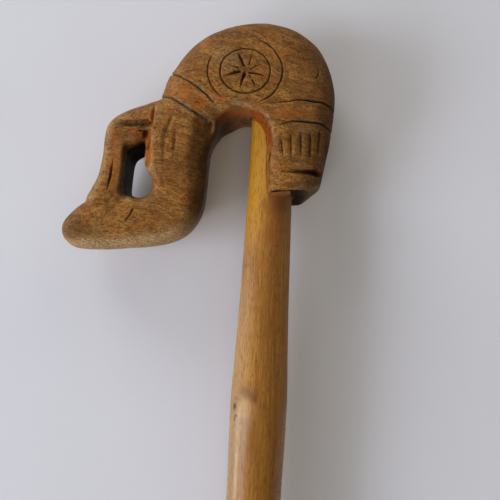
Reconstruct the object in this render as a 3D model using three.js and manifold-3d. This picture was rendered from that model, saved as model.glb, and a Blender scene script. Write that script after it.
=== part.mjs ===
// A walking stick with a handle carved from one piece of hardwood. The crook laps over the
// top of a peeled natural shaft, is pinned to it by a hidden dowel and sealed with a bead
// of glue, and the shaft stands in a rubber ferrule with a steel washer in it.
// Millimetres, +Z up. The origin is the centre of the ferrule's sole, the shaft's axis is
// the Z axis, the head of the handle points to -X and its carved face looks to -Y.
import * as THREE from 'three';
import { mergeVertices } from 'three/addons/utils/BufferGeometryUtils.js';
import Module from 'manifold-3d';

// Driving dimensions of the whole stick
const stickHeight = 900;
const handleWidth = 106;
const handleHeight = 94;
const handleThickness = 34;

// Fits
const jointClearance = 0.3;
const cutOverrun = 6;
const weldDistance = 0.0001;

// Shaft
const shaftTopDiameter = 18;
const shaftWaistDiameter = 20;
const shaftNodeDiameter = 23.1;
const shaftBodyDiameter = 22.4;
const shaftFootDiameter = 17.4;
const shaftLap = 38;
const shaftWaistDrop = 42;
const shaftNodeDrop = 80;
const shaftNodeLength = 18;
const shaftNodeFade = 16;
const lowerNodeSwell = 0.6;
const lowerNodeShares = [0.36, 0.68];
const shaftTopChamfer = 1.6;
const shaftFootChamfer = 1;

// Dowel
const dowelDiameter = 8;
const dowelLength = 40;
const dowelChamfer = 0.8;

// Glue bead
const beadRadius = 2;

// Ferrule and its washer
const ferruleHeight = 42;
const ferruleWall = 2.8;
const ferruleSoleDiameter = 34;
const ferruleSoleThickness = 9;
const ferruleSkirtHeight = 13;
const ferruleSoleRounding = 1.5;
const ferruleRingWidth = 2.4;
const ferruleRingHeight = 0.9;
const ferruleRingPitch = 6;
const ferruleRingCount = 3;
const washerThickness = 1.6;
const washerHoleDiameter = 6;

// How finely round things are divided
const roundSides = 32;
const crookSides = 28;
const crookStepsPerSpan = 2;
const armSides = 20;
const armStepsPerSpan = 2;
const beadSides = 8;
const beadSteps = 16;

// Places that follow from the dimensions
const handleFoot = stickHeight - handleHeight;
const ferruleBoreRadius = shaftFootDiameter / 2 + jointClearance;
const washerFoot = ferruleSoleThickness + jointClearance;
const shaftFoot = washerFoot + washerThickness + jointClearance;

// The crook, as cross-sections from the end of the lobe over the dome, through the belt,
// down the neck, round the heel and along the head to its nose. Each row holds the outer
// edge's place across and up, and the inner edge's. Across is a share of the handle's width
// from the shaft's axis, and up is a share of the handle's height from its foot.
const crookShares = [
  [0.165, 0.17, -0.01, 0.149],
  [0.192, 0.335, -0.01, 0.33],
  [0.215, 0.491, -0.01, 0.452],
  [0.226, 0.617, -0.018, 0.52],
  [0.221, 0.747, -0.041, 0.568],
  [0.168, 0.884, -0.064, 0.588],
  [0.081, 0.967, -0.087, 0.593],
  [-0.026, 0.999, -0.108, 0.596],
  [-0.135, 0.989, -0.128, 0.595],
  [-0.245, 0.945, -0.153, 0.588],
  [-0.327, 0.872, -0.176, 0.572],
  [-0.38, 0.786, -0.198, 0.543],
  [-0.404, 0.743, -0.213, 0.505],
  [-0.422, 0.681, -0.225, 0.474],
  [-0.453, 0.596, -0.235, 0.436],
  [-0.47, 0.505, -0.239, 0.39],
  [-0.473, 0.431, -0.241, 0.344],
  [-0.466, 0.365, -0.242, 0.287],
  [-0.448, 0.304, -0.247, 0.218],
  [-0.451, 0.254, -0.266, 0.147],
  [-0.474, 0.229, -0.311, 0.081],
  [-0.504, 0.221, -0.377, 0.044],
  [-0.54, 0.219, -0.458, 0.022],
  [-0.59, 0.219, -0.538, 0.011],
  [-0.646, 0.216, -0.618, 0.002],
  [-0.701, 0.198, -0.689, 0],
  [-0.738, 0.165, -0.73, 0.006],
  [-0.761, 0.134, -0.755, 0.023],
  [-0.774, 0.111, -0.769, 0.045],
  [-0.776, 0.094, -0.775, 0.068],
];

// For the same cross-sections, the thickness as a share of the handle's thickness.
const crookThicknessShares = [
  0.84, 0.9, 0.95, 0.98, 1, 1, 1, 1, 1, 1, 0.99, 0.97, 0.95, 0.92, 0.88, 0.86, 0.84, 0.83, 0.82,
  0.81, 0.8, 0.78, 0.77, 0.76, 0.76, 0.73, 0.67, 0.56, 0.38, 0.18,
];

// How square the outline is towards the outer and the inner edge: 2 is an ellipse.
const crookOuterSquareness = [
  2.4, 2.5, 2.5, 2.5, 2.5, 2.5, 2.5, 2.5, 2.5, 2.5, 2.6, 2.8, 2.9, 3, 3.2, 3.4, 3.4, 3.4, 3.4,
  3.6, 3.8, 4, 4, 3.8, 3.4, 2.9, 2.6, 2.5, 2.4, 2.3,
];
const crookInnerSquareness = [
  3.8, 3.8, 3.8, 4, 4.4, 4.6, 4.6, 4.6, 4.6, 4.6, 4.4, 4.2, 3.8, 3.5, 3.2, 3.1, 3, 3, 3, 2.9,
  2.8, 2.8, 2.8, 2.8, 2.8, 2.7, 2.6, 2.5, 2.4, 2.3,
];

// The underside of the arch is cut aslant, higher at the carved face than at the back.
const archSlant = 9;
const archSlantShares = [
  0, 0, 0, 0.2, 0.6, 1, 1, 1, 1, 0.9, 0.75, 0.5, 0.3, 0.1, 0, 0, 0, 0, 0, 0, 0, 0, 0, 0, 0, 0, 0,
  0, 0, 0,
];

// The arm, from inside the belt round the through hole and down into the head. Its rows are
// as the crook's: outer edge across and up, then the edge on the side of the hole.
const armShares = [
  [-0.358, 0.633, -0.377, 0.463],
  [-0.411, 0.649, -0.421, 0.453],
  [-0.446, 0.644, -0.452, 0.446],
  [-0.483, 0.622, -0.475, 0.432],
  [-0.525, 0.604, -0.494, 0.417],
  [-0.56, 0.587, -0.509, 0.406],
  [-0.593, 0.563, -0.522, 0.399],
  [-0.615, 0.528, -0.529, 0.389],
  [-0.627, 0.482, -0.533, 0.374],
  [-0.633, 0.431, -0.534, 0.349],
  [-0.636, 0.376, -0.536, 0.319],
  [-0.642, 0.314, -0.54, 0.287],
  [-0.654, 0.251, -0.542, 0.25],
  [-0.666, 0.189, -0.538, 0.191],
  [-0.666, 0.128, -0.538, 0.128],
];
const armThicknessShares = [
  0.8, 0.83, 0.82, 0.79, 0.77, 0.75, 0.73, 0.72, 0.71, 0.71, 0.72, 0.74, 0.76, 0.76, 0.7,
];
const armOuterSquareness = [3, 3, 3, 3, 3, 3, 3, 3, 3, 3, 3, 3.1, 3.3, 3.4, 3.4];
const armInnerSquareness = [3.4, 3.6, 3.8, 4, 4.2, 4.4, 4.5, 4.5, 4.5, 4.5, 4.4, 4.2, 4, 4, 4];
const armSlantShares = [0, 0, 0, 0, 0, 0, 0, 0, 0, 0, 0, 0, 0, 0, 0];

// The lobe's end is sawn off aslant: its plane passes through the lobe's middle at this
// share of the handle's height, rising to the outside and falling to the back.
const lobeEndShare = 0.266;
const lobeMiddleShare = 0.09;
const lobeEndRise = THREE.MathUtils.degToRad(7);
const lobeEndFall = THREE.MathUtils.degToRad(7);
const lobeEnd = handleFoot + lobeEndShare * handleHeight;
const shaftTop = lobeEnd + shaftLap;

// The glue bead runs along the corner between shaft and handle: angles round the shaft from
// its front towards the crook's gap, and heights as shares of the handle's height.
const beadAngles = [7, 5.5, 5, 7, 11, 17, 26, 40, 56, 74].map(THREE.MathUtils.degToRad);
const beadHeightShares = [0.4, 0.45, 0.487, 0.522, 0.548, 0.57, 0.592, 0.606, 0.606, 0.599];

// Finishes
const carvedHardwood = new THREE.MeshStandardMaterial({ color: 0x7a5430, roughness: 0.62, metalness: 0 });
const peeledWood = new THREE.MeshStandardMaterial({ color: 0xa9783a, roughness: 0.45, metalness: 0 });
const driedGlue = new THREE.MeshStandardMaterial({ color: 0x8a4a18, roughness: 0.35, metalness: 0 });
const dowelWood = new THREE.MeshStandardMaterial({ color: 0xc9a674, roughness: 0.7, metalness: 0 });
const blackRubber = new THREE.MeshStandardMaterial({ color: 0x1d1d1e, roughness: 0.85, metalness: 0 });
const platedSteel = new THREE.MeshStandardMaterial({ color: 0xb4b7ba, roughness: 0.35, metalness: 1 });

const wasm = await Module();
wasm.setup();

// A closed geometry as a solid that can be joined and cut.
function toSolid(geometry) {
  const bare = geometry.clone();
  bare.deleteAttribute('normal');
  bare.deleteAttribute('uv');
  const welded = mergeVertices(bare, weldDistance);
  const vertProperties = new Float32Array(welded.getAttribute('position').array);
  const triVerts = new Uint32Array(welded.getIndex().array);
  return new wasm.Manifold(new wasm.Mesh({ numProp: 3, vertProperties, triVerts }));
}

function toGeometry(solid) {
  const mesh = solid.getMesh();
  const geometry = new THREE.BufferGeometry();
  geometry.setAttribute('position', new THREE.BufferAttribute(mesh.vertProperties, 3));
  geometry.setIndex(new THREE.BufferAttribute(mesh.triVerts, 1));
  geometry.computeVertexNormals();
  return geometry;
}

function largestPiece(solid) {
  const pieces = solid.decompose();
  return pieces.reduce((best, piece) => (piece.volume() > best.volume() ? piece : best));
}

// A closed profile of [radius, height] points turned round the Z axis.
function turned(points) {
  const profile = points.map(([radius, height]) => new THREE.Vector2(radius, height));
  return new THREE.LatheGeometry(profile, roundSides).rotateX(Math.PI / 2);
}

// A round bar on the Z axis between two heights.
function bar(radius, low, high) {
  return turned([[0, low], [radius, low], [radius, high], [0, high]]);
}

// A closed skin through rings of points, with a flat fan over each end.
function skin(rings) {
  const sides = rings[0].length;
  const positions = rings.flat().flatMap((point) => point.toArray());
  const firstCentre = rings.length * sides;
  const lastCentre = firstCentre + 1;
  [rings[0], rings.at(-1)].forEach((ring) => {
    const centre = ring.reduce((sum, point) => sum.add(point), new THREE.Vector3());
    positions.push(...centre.divideScalar(sides).toArray());
  });
  const faces = [];
  for (let side = 0; side < sides; side += 1) {
    const next = (side + 1) % sides;
    const lastRing = firstCentre - sides;
    faces.push(firstCentre, next, side);
    faces.push(lastCentre, lastRing + side, lastRing + next);
    for (let row = 0; row < lastRing; row += sides) {
      faces.push(row + side, row + next, row + sides + next);
      faces.push(row + side, row + sides + next, row + sides + side);
    }
  }
  const geometry = new THREE.BufferGeometry();
  geometry.setAttribute('position', new THREE.Float32BufferAttribute(positions, 3));
  geometry.setIndex(faces);
  return geometry;
}

// A smooth curve through places given as shares of the handle's width and height.
function handleCurve(places) {
  const points = places.map(
    ([across, up]) => new THREE.Vector3(across * handleWidth, 0, handleFoot + up * handleHeight),
  );
  return new THREE.CatmullRomCurve3(points, false, 'catmullrom', 0.5);
}

// A smooth run through plain numbers.
function smoothRun(values) {
  const points = values.map((value) => new THREE.Vector3(value, 0, 0));
  return new THREE.CatmullRomCurve3(points, false, 'catmullrom', 0.5);
}

const crook = {
  shares: crookShares,
  thicknessShares: crookThicknessShares,
  outerSquareness: crookOuterSquareness,
  innerSquareness: crookInnerSquareness,
  slantShares: archSlantShares,
  sides: crookSides,
  stepsPerSpan: crookStepsPerSpan,
};
const arm = {
  shares: armShares,
  thicknessShares: armThicknessShares,
  outerSquareness: armOuterSquareness,
  innerSquareness: armInnerSquareness,
  slantShares: armSlantShares,
  sides: armSides,
  stepsPerSpan: armStepsPerSpan,
};

// A power of a number that keeps the number's sign.
function signedPower(value, power) {
  return Math.sign(value) * Math.abs(value) ** power;
}

// One cross-section: two half outlines, each a squared ellipse between the middle and its
// edge, grown all round by the given amount.
function sectionRing(edge, inner, depth, outerSquareness, innerSquareness, slant, sides, growth) {
  const middle = inner.clone().lerp(edge, 0.5);
  const reach = edge.distanceTo(middle) + growth;
  const acrossAxis = edge.clone().sub(middle).normalize();
  const ring = [];
  for (let side = 0; side < sides; side += 1) {
    const angle = (2 * Math.PI * side) / sides;
    const power = 2 / (Math.cos(angle) > 0 ? outerSquareness : innerSquareness);
    const across = signedPower(Math.cos(angle), power);
    const back = signedPower(Math.sin(angle), power);
    const lift = (Math.min(across, 0) * back * slant) / 2;
    const point = middle.clone().addScaledVector(acrossAxis, across * reach + lift);
    ring.push(point.setY(back * (depth / 2 + growth)));
  }
  return ring;
}

// A carved limb: cross-sections carried along between its outer and its inner edge.
function limb(form, growth) {
  const outer = handleCurve(form.shares.map((row) => row.slice(0, 2)));
  const inner = handleCurve(form.shares.map((row) => row.slice(2)));
  const thickness = smoothRun(form.thicknessShares);
  const outerSquareness = smoothRun(form.outerSquareness);
  const innerSquareness = smoothRun(form.innerSquareness);
  const slant = smoothRun(form.slantShares);
  const steps = (form.shares.length - 1) * form.stepsPerSpan;
  const rings = [];
  for (let step = 0; step <= steps; step += 1) {
    const along = step / steps;
    rings.push(sectionRing(
      outer.getPoint(along),
      inner.getPoint(along),
      thickness.getPoint(along).x * handleThickness,
      outerSquareness.getPoint(along).x,
      innerSquareness.getPoint(along).x,
      slant.getPoint(along).x * archSlant,
      form.sides,
      growth,
    ));
  }
  return toSolid(skin(rings));
}

// The crook and the arm in one, before the joint with the shaft is cut.
function handleBlank(growth) {
  return limb(crook, growth).add(limb(arm, growth));
}

// The saw cut that ends the lobe: a block whose top is the slanted plane.
function lobeEndCut() {
  const width = 2 * (crookShares[1][0] * handleWidth + cutOverrun);
  const depth = handleThickness + 2 * cutOverrun;
  const height = (lobeEndShare - crookShares[0][3]) * handleHeight + 2 * cutOverrun;
  const block = new THREE.BoxGeometry(width, depth, height);
  block.translate(0, 0, -height / 2);
  block.rotateX(-lobeEndFall);
  block.rotateY(-lobeEndRise);
  block.translate(lobeMiddleShare * handleWidth, 0, lobeEnd);
  return toSolid(block);
}

// The socket that the shaft laps into, with the blind hole of the dowel above it.
function shaftSocket() {
  const socketLow = lobeEnd - crookShares[0][3] * handleHeight;
  return toSolid(bar(shaftTopDiameter / 2 + jointClearance, socketLow, shaftTop + jointClearance));
}

const dowelFoot = shaftTop - dowelLength / 2;
const dowelHead = dowelFoot + dowelLength;

function dowelHole() {
  return toSolid(
    bar(dowelDiameter / 2 + jointClearance, dowelFoot - jointClearance, dowelHead + jointClearance),
  );
}

function carvedHandle() {
  const handle = handleBlank(0).subtract(lobeEndCut()).subtract(shaftSocket()).subtract(dowelHole());
  return toGeometry(largestPiece(handle));
}

// The shaft's outline: chamfered top, straight in the socket, waist, node, long taper with
// two more faint nodes, chamfered foot.
function shaftOutline() {
  const nodeTop = lobeEnd - shaftNodeDrop;
  const nodeFoot = nodeTop - shaftNodeLength;
  const bodyTop = nodeFoot - shaftNodeFade;
  const topRadius = shaftTopDiameter / 2;
  const footRadius = shaftFootDiameter / 2;
  const taper = (height) => THREE.MathUtils.mapLinear(
    height, bodyTop, shaftFoot, shaftBodyDiameter / 2, footRadius,
  );
  const outline = [
    [0, shaftTop],
    [topRadius - shaftTopChamfer, shaftTop],
    [topRadius, shaftTop - shaftTopChamfer],
    [topRadius, lobeEnd],
    [shaftWaistDiameter / 2, lobeEnd - shaftWaistDrop],
    [(shaftWaistDiameter + shaftNodeDiameter) / 4, nodeTop + shaftNodeFade],
    [shaftNodeDiameter / 2, nodeTop],
    [shaftNodeDiameter / 2, nodeFoot],
    [shaftBodyDiameter / 2, bodyTop],
  ];
  for (const share of lowerNodeShares) {
    const middle = THREE.MathUtils.lerp(bodyTop, shaftFoot, share);
    for (const [offset, swell] of [[shaftNodeLength, 0], [0, lowerNodeSwell], [-shaftNodeLength, 0]]) {
      outline.push([taper(middle + offset) + swell, middle + offset]);
    }
  }
  outline.push([footRadius, shaftFoot + ferruleHeight]);
  outline.push([footRadius, shaftFoot + shaftFootChamfer]);
  outline.push([footRadius - shaftFootChamfer, shaftFoot]);
  outline.push([0, shaftFoot]);
  return outline.reverse();
}

function shaft() {
  return toGeometry(toSolid(turned(shaftOutline())).subtract(dowelHole()));
}

function jointDowel() {
  const radius = dowelDiameter / 2;
  return turned([
    [0, dowelFoot],
    [radius - dowelChamfer, dowelFoot],
    [radius, dowelFoot + dowelChamfer],
    [radius, dowelHead - dowelChamfer],
    [radius - dowelChamfer, dowelHead],
    [0, dowelHead],
  ]);
}

// The bead of glue: a round cord along the corner, cut back to its clearance from the shaft
// and from the handle, so that a hollow-faced fillet is left.
function glueFillet() {
  const radius = shaftTopDiameter / 2 + jointClearance;
  const corner = beadAngles.map((angle, index) => new THREE.Vector3(
    -radius * Math.sin(angle),
    -radius * Math.cos(angle),
    handleFoot + beadHeightShares[index] * handleHeight,
  ));
  const section = new THREE.Shape().absarc(0, 0, beadRadius, 0, 2 * Math.PI);
  const cord = new THREE.ExtrudeGeometry(section, {
    steps: beadSteps,
    curveSegments: beadSides,
    extrudePath: new THREE.CatmullRomCurve3(corner),
  });
  const bore = toSolid(bar(radius, shaftFoot, stickHeight));
  return toGeometry(largestPiece(toSolid(cord).subtract(bore).subtract(handleBlank(jointClearance))));
}

// The ferrule's outline: sole, skirt, ringed sleeve, mouth and the bore down to the washer's
// seat.
function rubberFerrule() {
  const sleeve = ferruleBoreRadius + ferruleWall;
  const sole = ferruleSoleDiameter / 2;
  const outline = [
    [0, 0],
    [sole - ferruleSoleRounding, 0],
    [sole, ferruleSoleRounding],
    [sole, ferruleSkirtHeight / 2],
    [sleeve, ferruleSkirtHeight],
  ];
  for (let ring = 0; ring < ferruleRingCount; ring += 1) {
    const low = ferruleSkirtHeight + ferruleRingPitch * (ring + 1) - ferruleRingWidth;
    outline.push([sleeve, low]);
    outline.push([sleeve + ferruleRingHeight, low]);
    outline.push([sleeve + ferruleRingHeight, low + ferruleRingWidth]);
    outline.push([sleeve, low + ferruleRingWidth]);
  }
  outline.push([sleeve, ferruleHeight]);
  outline.push([ferruleBoreRadius, ferruleHeight]);
  outline.push([ferruleBoreRadius, ferruleSoleThickness]);
  outline.push([0, ferruleSoleThickness]);
  return turned(outline);
}

function ferruleWasher() {
  const rim = ferruleBoreRadius - jointClearance;
  const hole = washerHoleDiameter / 2;
  const top = washerFoot + washerThickness;
  return turned([[hole, washerFoot], [rim, washerFoot], [rim, top], [hole, top], [hole, washerFoot]]);
}

const walkingStick = new THREE.Group();

function addPiece(name, geometry, material) {
  const piece = new THREE.Mesh(geometry, material);
  piece.name = name;
  walkingStick.add(piece);
}

addPiece('carved_handle', carvedHandle(), carvedHardwood);
addPiece('shaft', shaft(), peeledWood);
addPiece('joint_dowel', jointDowel(), dowelWood);
addPiece('glue_fillet', glueFillet(), driedGlue);
addPiece('rubber_ferrule', rubberFerrule(), blackRubber);
addPiece('ferrule_washer', ferruleWasher(), platedSteel);

export default walkingStick;
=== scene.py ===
"""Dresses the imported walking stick: a carved hardwood crook on a peeled, varnished shaft.

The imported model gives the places. This file makes the fine surfaces and their finishes, the
stage, the light and the camera. Lengths are in millimetres until a mesh is made.
"""
import math
from collections import namedtuple

import bmesh
import bpy
import numpy as np
from bpy.props import FloatProperty, FloatVectorProperty, PointerProperty
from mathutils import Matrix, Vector
from mathutils.bvhtree import BVHTree


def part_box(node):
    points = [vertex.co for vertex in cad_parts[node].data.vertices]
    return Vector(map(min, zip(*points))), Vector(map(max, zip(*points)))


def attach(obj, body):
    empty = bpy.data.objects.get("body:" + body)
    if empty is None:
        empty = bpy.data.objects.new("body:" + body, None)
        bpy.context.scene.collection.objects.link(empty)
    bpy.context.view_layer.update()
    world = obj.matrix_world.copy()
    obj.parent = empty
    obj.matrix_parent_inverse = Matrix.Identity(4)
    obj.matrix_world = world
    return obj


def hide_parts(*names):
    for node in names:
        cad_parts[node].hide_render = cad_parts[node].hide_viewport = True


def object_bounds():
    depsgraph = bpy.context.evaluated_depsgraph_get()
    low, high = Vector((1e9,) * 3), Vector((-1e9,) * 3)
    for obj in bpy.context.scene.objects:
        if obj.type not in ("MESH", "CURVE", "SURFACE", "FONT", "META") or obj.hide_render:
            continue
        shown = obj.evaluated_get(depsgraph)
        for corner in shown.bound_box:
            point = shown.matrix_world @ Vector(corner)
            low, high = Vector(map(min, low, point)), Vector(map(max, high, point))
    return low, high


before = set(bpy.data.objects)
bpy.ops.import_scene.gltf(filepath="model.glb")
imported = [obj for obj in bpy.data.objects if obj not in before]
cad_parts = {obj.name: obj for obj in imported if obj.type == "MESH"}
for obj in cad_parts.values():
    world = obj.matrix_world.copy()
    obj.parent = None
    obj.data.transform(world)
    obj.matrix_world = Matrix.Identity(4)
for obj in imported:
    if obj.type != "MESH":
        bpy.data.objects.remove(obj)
cad_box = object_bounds()

bl_info = {
    "name": "Carved walking stick",
    "version": (1, 0, 0),
    "blender": (4, 5, 0),
    "location": "3D View > Sidebar > Stick",
    "description": "Makes the carved handle, the peeled shaft, the glue, the ferrule and the stage",
    "category": "Object",
}

MM = 0.001
SEED = 7

# The photograph's camera: its picture in pixels, its focal length in pixels, its place in
# millimetres and its roll
PICTURE = 500
FOCAL = 650
EYE = np.array([-6.85, -265.0, 809.0])
ROLL = math.radians(3.03)
SENSOR = 36
# A line of sight that meets a surface deeper along Y than this has passed it by
PASSED_BY = -7

# Cross-sections of the crook from the end of the lobe over the dome, down the neck and along
# the head: outer edge across and up, inner edge across and up, thickness, squareness of the
# outer and of the inner half, slant of the inner half. Across and thickness are shares of the
# handle's width and thickness, up of its height.
CROOK_SHARES = (
    (0.165, 0.17, -0.008, 0.149, 0.84, 2.4, 4.6, 0),
    (0.188, 0.31, -0.015, 0.31, 0.89, 2.5, 4.6, 0),
    (0.201, 0.4, -0.017, 0.385, 0.92, 2.5, 4.6, 0),
    (0.215, 0.491, -0.012, 0.446, 0.95, 2.5, 4.2, 0),
    (0.226, 0.617, -0.018, 0.52, 0.98, 2.5, 8, 0.1),
    (0.221, 0.747, -0.041, 0.572, 1, 2.5, 18, 0.15),
    (0.168, 0.884, -0.064, 0.593, 1, 2.5, 32, 0.15),
    (0.081, 0.967, -0.087, 0.6, 1, 2.5, 36, 0.15),
    (-0.026, 0.999, -0.108, 0.602, 1, 2.5, 36, 0.2),
    (-0.135, 0.989, -0.128, 0.6, 1, 2.5, 34, 0.28),
    (-0.245, 0.945, -0.153, 0.591, 1, 2.5, 24, 0.4),
    (-0.327, 0.872, -0.176, 0.574, 0.99, 2.6, 12, 0.42),
    (-0.38, 0.786, -0.198, 0.547, 0.97, 2.8, 6, 0.35),
    (-0.404, 0.743, -0.213, 0.507, 0.95, 2.9, 4.2, 0.2),
    (-0.422, 0.681, -0.225, 0.474, 0.92, 3, 3.5, 0.1),
    (-0.453, 0.596, -0.235, 0.436, 0.88, 3.2, 3.2, 0),
    (-0.474, 0.505, -0.239, 0.39, 0.86, 4, 3.1, 0),
    (-0.475, 0.431, -0.241, 0.344, 0.84, 4.6, 3, 0),
    (-0.474, 0.367, -0.242, 0.287, 0.83, 5, 3, 0),
    (-0.443, 0.311, -0.247, 0.218, 0.82, 5, 3, 0),
    (-0.441, 0.262, -0.266, 0.147, 0.81, 5, 2.9, 0),
    (-0.468, 0.235, -0.311, 0.081, 0.8, 5, 2.8, 0),
    (-0.504, 0.229, -0.377, 0.044, 0.78, 5, 2.8, 0),
    (-0.536, 0.24, -0.458, 0.022, 0.77, 5, 2.8, 0),
    (-0.59, 0.224, -0.538, 0.011, 0.76, 4.4, 2.8, 0),
    (-0.646, 0.216, -0.618, 0.002, 0.76, 3.4, 2.8, 0),
    (-0.701, 0.198, -0.689, 0, 0.73, 2.9, 2.7, 0),
    (-0.738, 0.165, -0.73, 0.006, 0.67, 2.6, 2.6, 0),
    (-0.763, 0.134, -0.757, 0.023, 0.56, 2.5, 2.5, 0),
    (-0.777, 0.111, -0.772, 0.045, 0.38, 2.4, 2.4, 0),
    (-0.779, 0.094, -0.778, 0.068, 0.18, 2.3, 2.3, 0),
)

# The arm, from inside the belt round the through hole and down into the head
ARM_SHARES = (
    (-0.358, 0.633, -0.377, 0.48, 0.8, 3, 3.4, 0),
    (-0.411, 0.649, -0.421, 0.476, 0.83, 3, 3.6, 0.1),
    (-0.446, 0.644, -0.452, 0.466, 0.82, 3, 4, 0.25),
    (-0.483, 0.625, -0.477, 0.453, 0.8, 3, 4.6, 0.38),
    (-0.527, 0.608, -0.5, 0.437, 0.79, 3, 5, 0.38),
    (-0.564, 0.591, -0.518, 0.426, 0.78, 3, 5.4, 0.42),
    (-0.598, 0.568, -0.532, 0.416, 0.77, 3, 5.6, 0.4),
    (-0.622, 0.532, -0.54, 0.402, 0.77, 3, 8, 0.25),
    (-0.631, 0.484, -0.543, 0.382, 0.77, 3, 9, 0.1),
    (-0.635, 0.431, -0.544, 0.356, 0.77, 3, 9, 0.03),
    (-0.638, 0.376, -0.546, 0.324, 0.77, 3, 9, 0.02),
    (-0.648, 0.314, -0.548, 0.288, 0.77, 3.1, 8, 0.03),
    (-0.671, 0.262, -0.543, 0.256, 0.77, 3.3, 4.4, 0),
    (-0.692, 0.206, -0.528, 0.2, 0.76, 3.4, 4, 0),
    (-0.676, 0.128, -0.528, 0.128, 0.7, 3.4, 4, 0),
)
# How much further in a slant of 1 sets the inner half at its back than in front, in millimetres
ARCH_SLANT = 9

# The saw cut that ends the lobe: its height in the lobe's middle, that middle, its rise outwards
# and its fall to the back, and the block that stands for the wood under it
LOBE_END_SHARE = 0.266
LOBE_MIDDLE_SHARE = 0.09
LOBE_END_RISE = math.radians(5)
LOBE_END_FALL = math.radians(8.5)
LOBE_END_BLOCK = (52.8, 46, 24)

# The socket that the shaft goes into, how far up it goes, and where the bar that bores it starts
SOCKET_RADIUS = 9.3
SHAFT_LAP = 38
SOCKET_BAR_FOOT = 700

# Middle and half size of the through hole, as shares, and its slanted top edge: across, down and
# fall in pixels
HOLE_MIDDLE = (-0.495, 0.335)
HOLE_HALF = (0.078, 0.18)
HOLE_TOP = (125.8, 147.6, -0.566)

# Sides of crook and arm, and rings between two rows of their tables
CROOK_SIDES = 96
ARM_SIDES = 64
STEPS_PER_ROW = 8
# Rounds of relaxing after the skin is laid and after the cuts are refined, on the neck's worn
# edge, and for the broad shape that hollows and edges are told from, and how strong each round
# on the worn edge is
SETTLING_ROUNDS = 2
WORN_ROUNDS = 40
BROAD_ROUNDS = 40
WORN_STRENGTH = 0.5
# Waves that the knife left: size in millimetres and strength
WAVES = ((9, 1), (4, 0.5))
# Edges are halved this far outside a cut, first and then again
REFINED = (1.2, 0.45)
# Depth along Y near the carved face, at which cuts that go right through are placed
THROUGH_DEPTH = -12
# A cut's spacing of points, how far it wanders and over what distance, in pixels, and the fewest
# points that it has
CUT_STEP = 0.7
HAND_SHAKE = 0.35
SHAKE_SIZE = 4
FEWEST_POINTS = 6
# How far beside its width a cut is felt, in millimetres
CUT_SURROUND = 1.5
# How uneven a cut's width is, as a share of it, and over what distance in millimetres
CUT_UNEVEN = 0.25
UNEVEN_SIZE = 1.6
# The share of its width that a cut keeps at its ends, and its least half width in millimetres
CUT_END_WIDTH = 0.35
LEAST_HALF = 0.05
# The burr beside a cut: its height in millimetres, and its middle and spread in half widths
BURR_HEIGHT = 0.035
BURR_MIDDLE = 1.25
BURR_SPREAD = 0.35
# The stretch of the neck's edge that is worn round, in pixels across and down: where it starts,
# is full, fades and is gone, and how far back along Y it reaches
WORN_ACROSS = (178, 184, 205, 211)
WORN_DOWN = (109, 116, 205, 215)
WORN_BACK = -6
# How much dark is painted in the through hole, on the lobe's sawn end and beside the finger gap: old dirt
# and painted shade
HOLE_DIRT_AND_SHADE = 0.985
SAWN_DIRT_AND_SHADE = 1
GAP_DIRT_AND_SHADE = 0.56

# Facets that the knife left, each by its four corners: across and down in the photograph's
# pixels, and depth along Y. In order: over the hole, the neck's edge by the hole, the side of
# the neck that faces the finger gap, and the lobe's lower outer corner. The first two reach the
# arm too.
FACETS = (
    ((122, 127, -13.6), (151.5, 126, -13.4), (151.5, 150, -6.8), (124, 152, -13.2)),
    ((145.4, 131, -8.6), (152.6, 131, -14.9), (152, 168, -14.8), (145.4, 168, -8.6)),
    ((196, 112.5, -14.6), (213, 123, -10.5), (214, 208, -4), (186, 212, -13.7)),
    ((302, 212, -12), (304, 193.5, -17), (325, 180, -17), (338, 192, -3)),
)

# How far away the wood that a facet took off reaches
FACET_AWAY = (0, -40, 0)

# The saw cut's second run, up to the lobe's outer edge: four corners as for a facet, in front
# and behind, and how far away the wood under it reaches
LOBE_CORNER = ((304, 192.5, -16), (325, 181.5, -16), (324, 190, 14), (296, 208, 14))
LOBE_CORNER_AWAY = (22, 0, -30)
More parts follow.
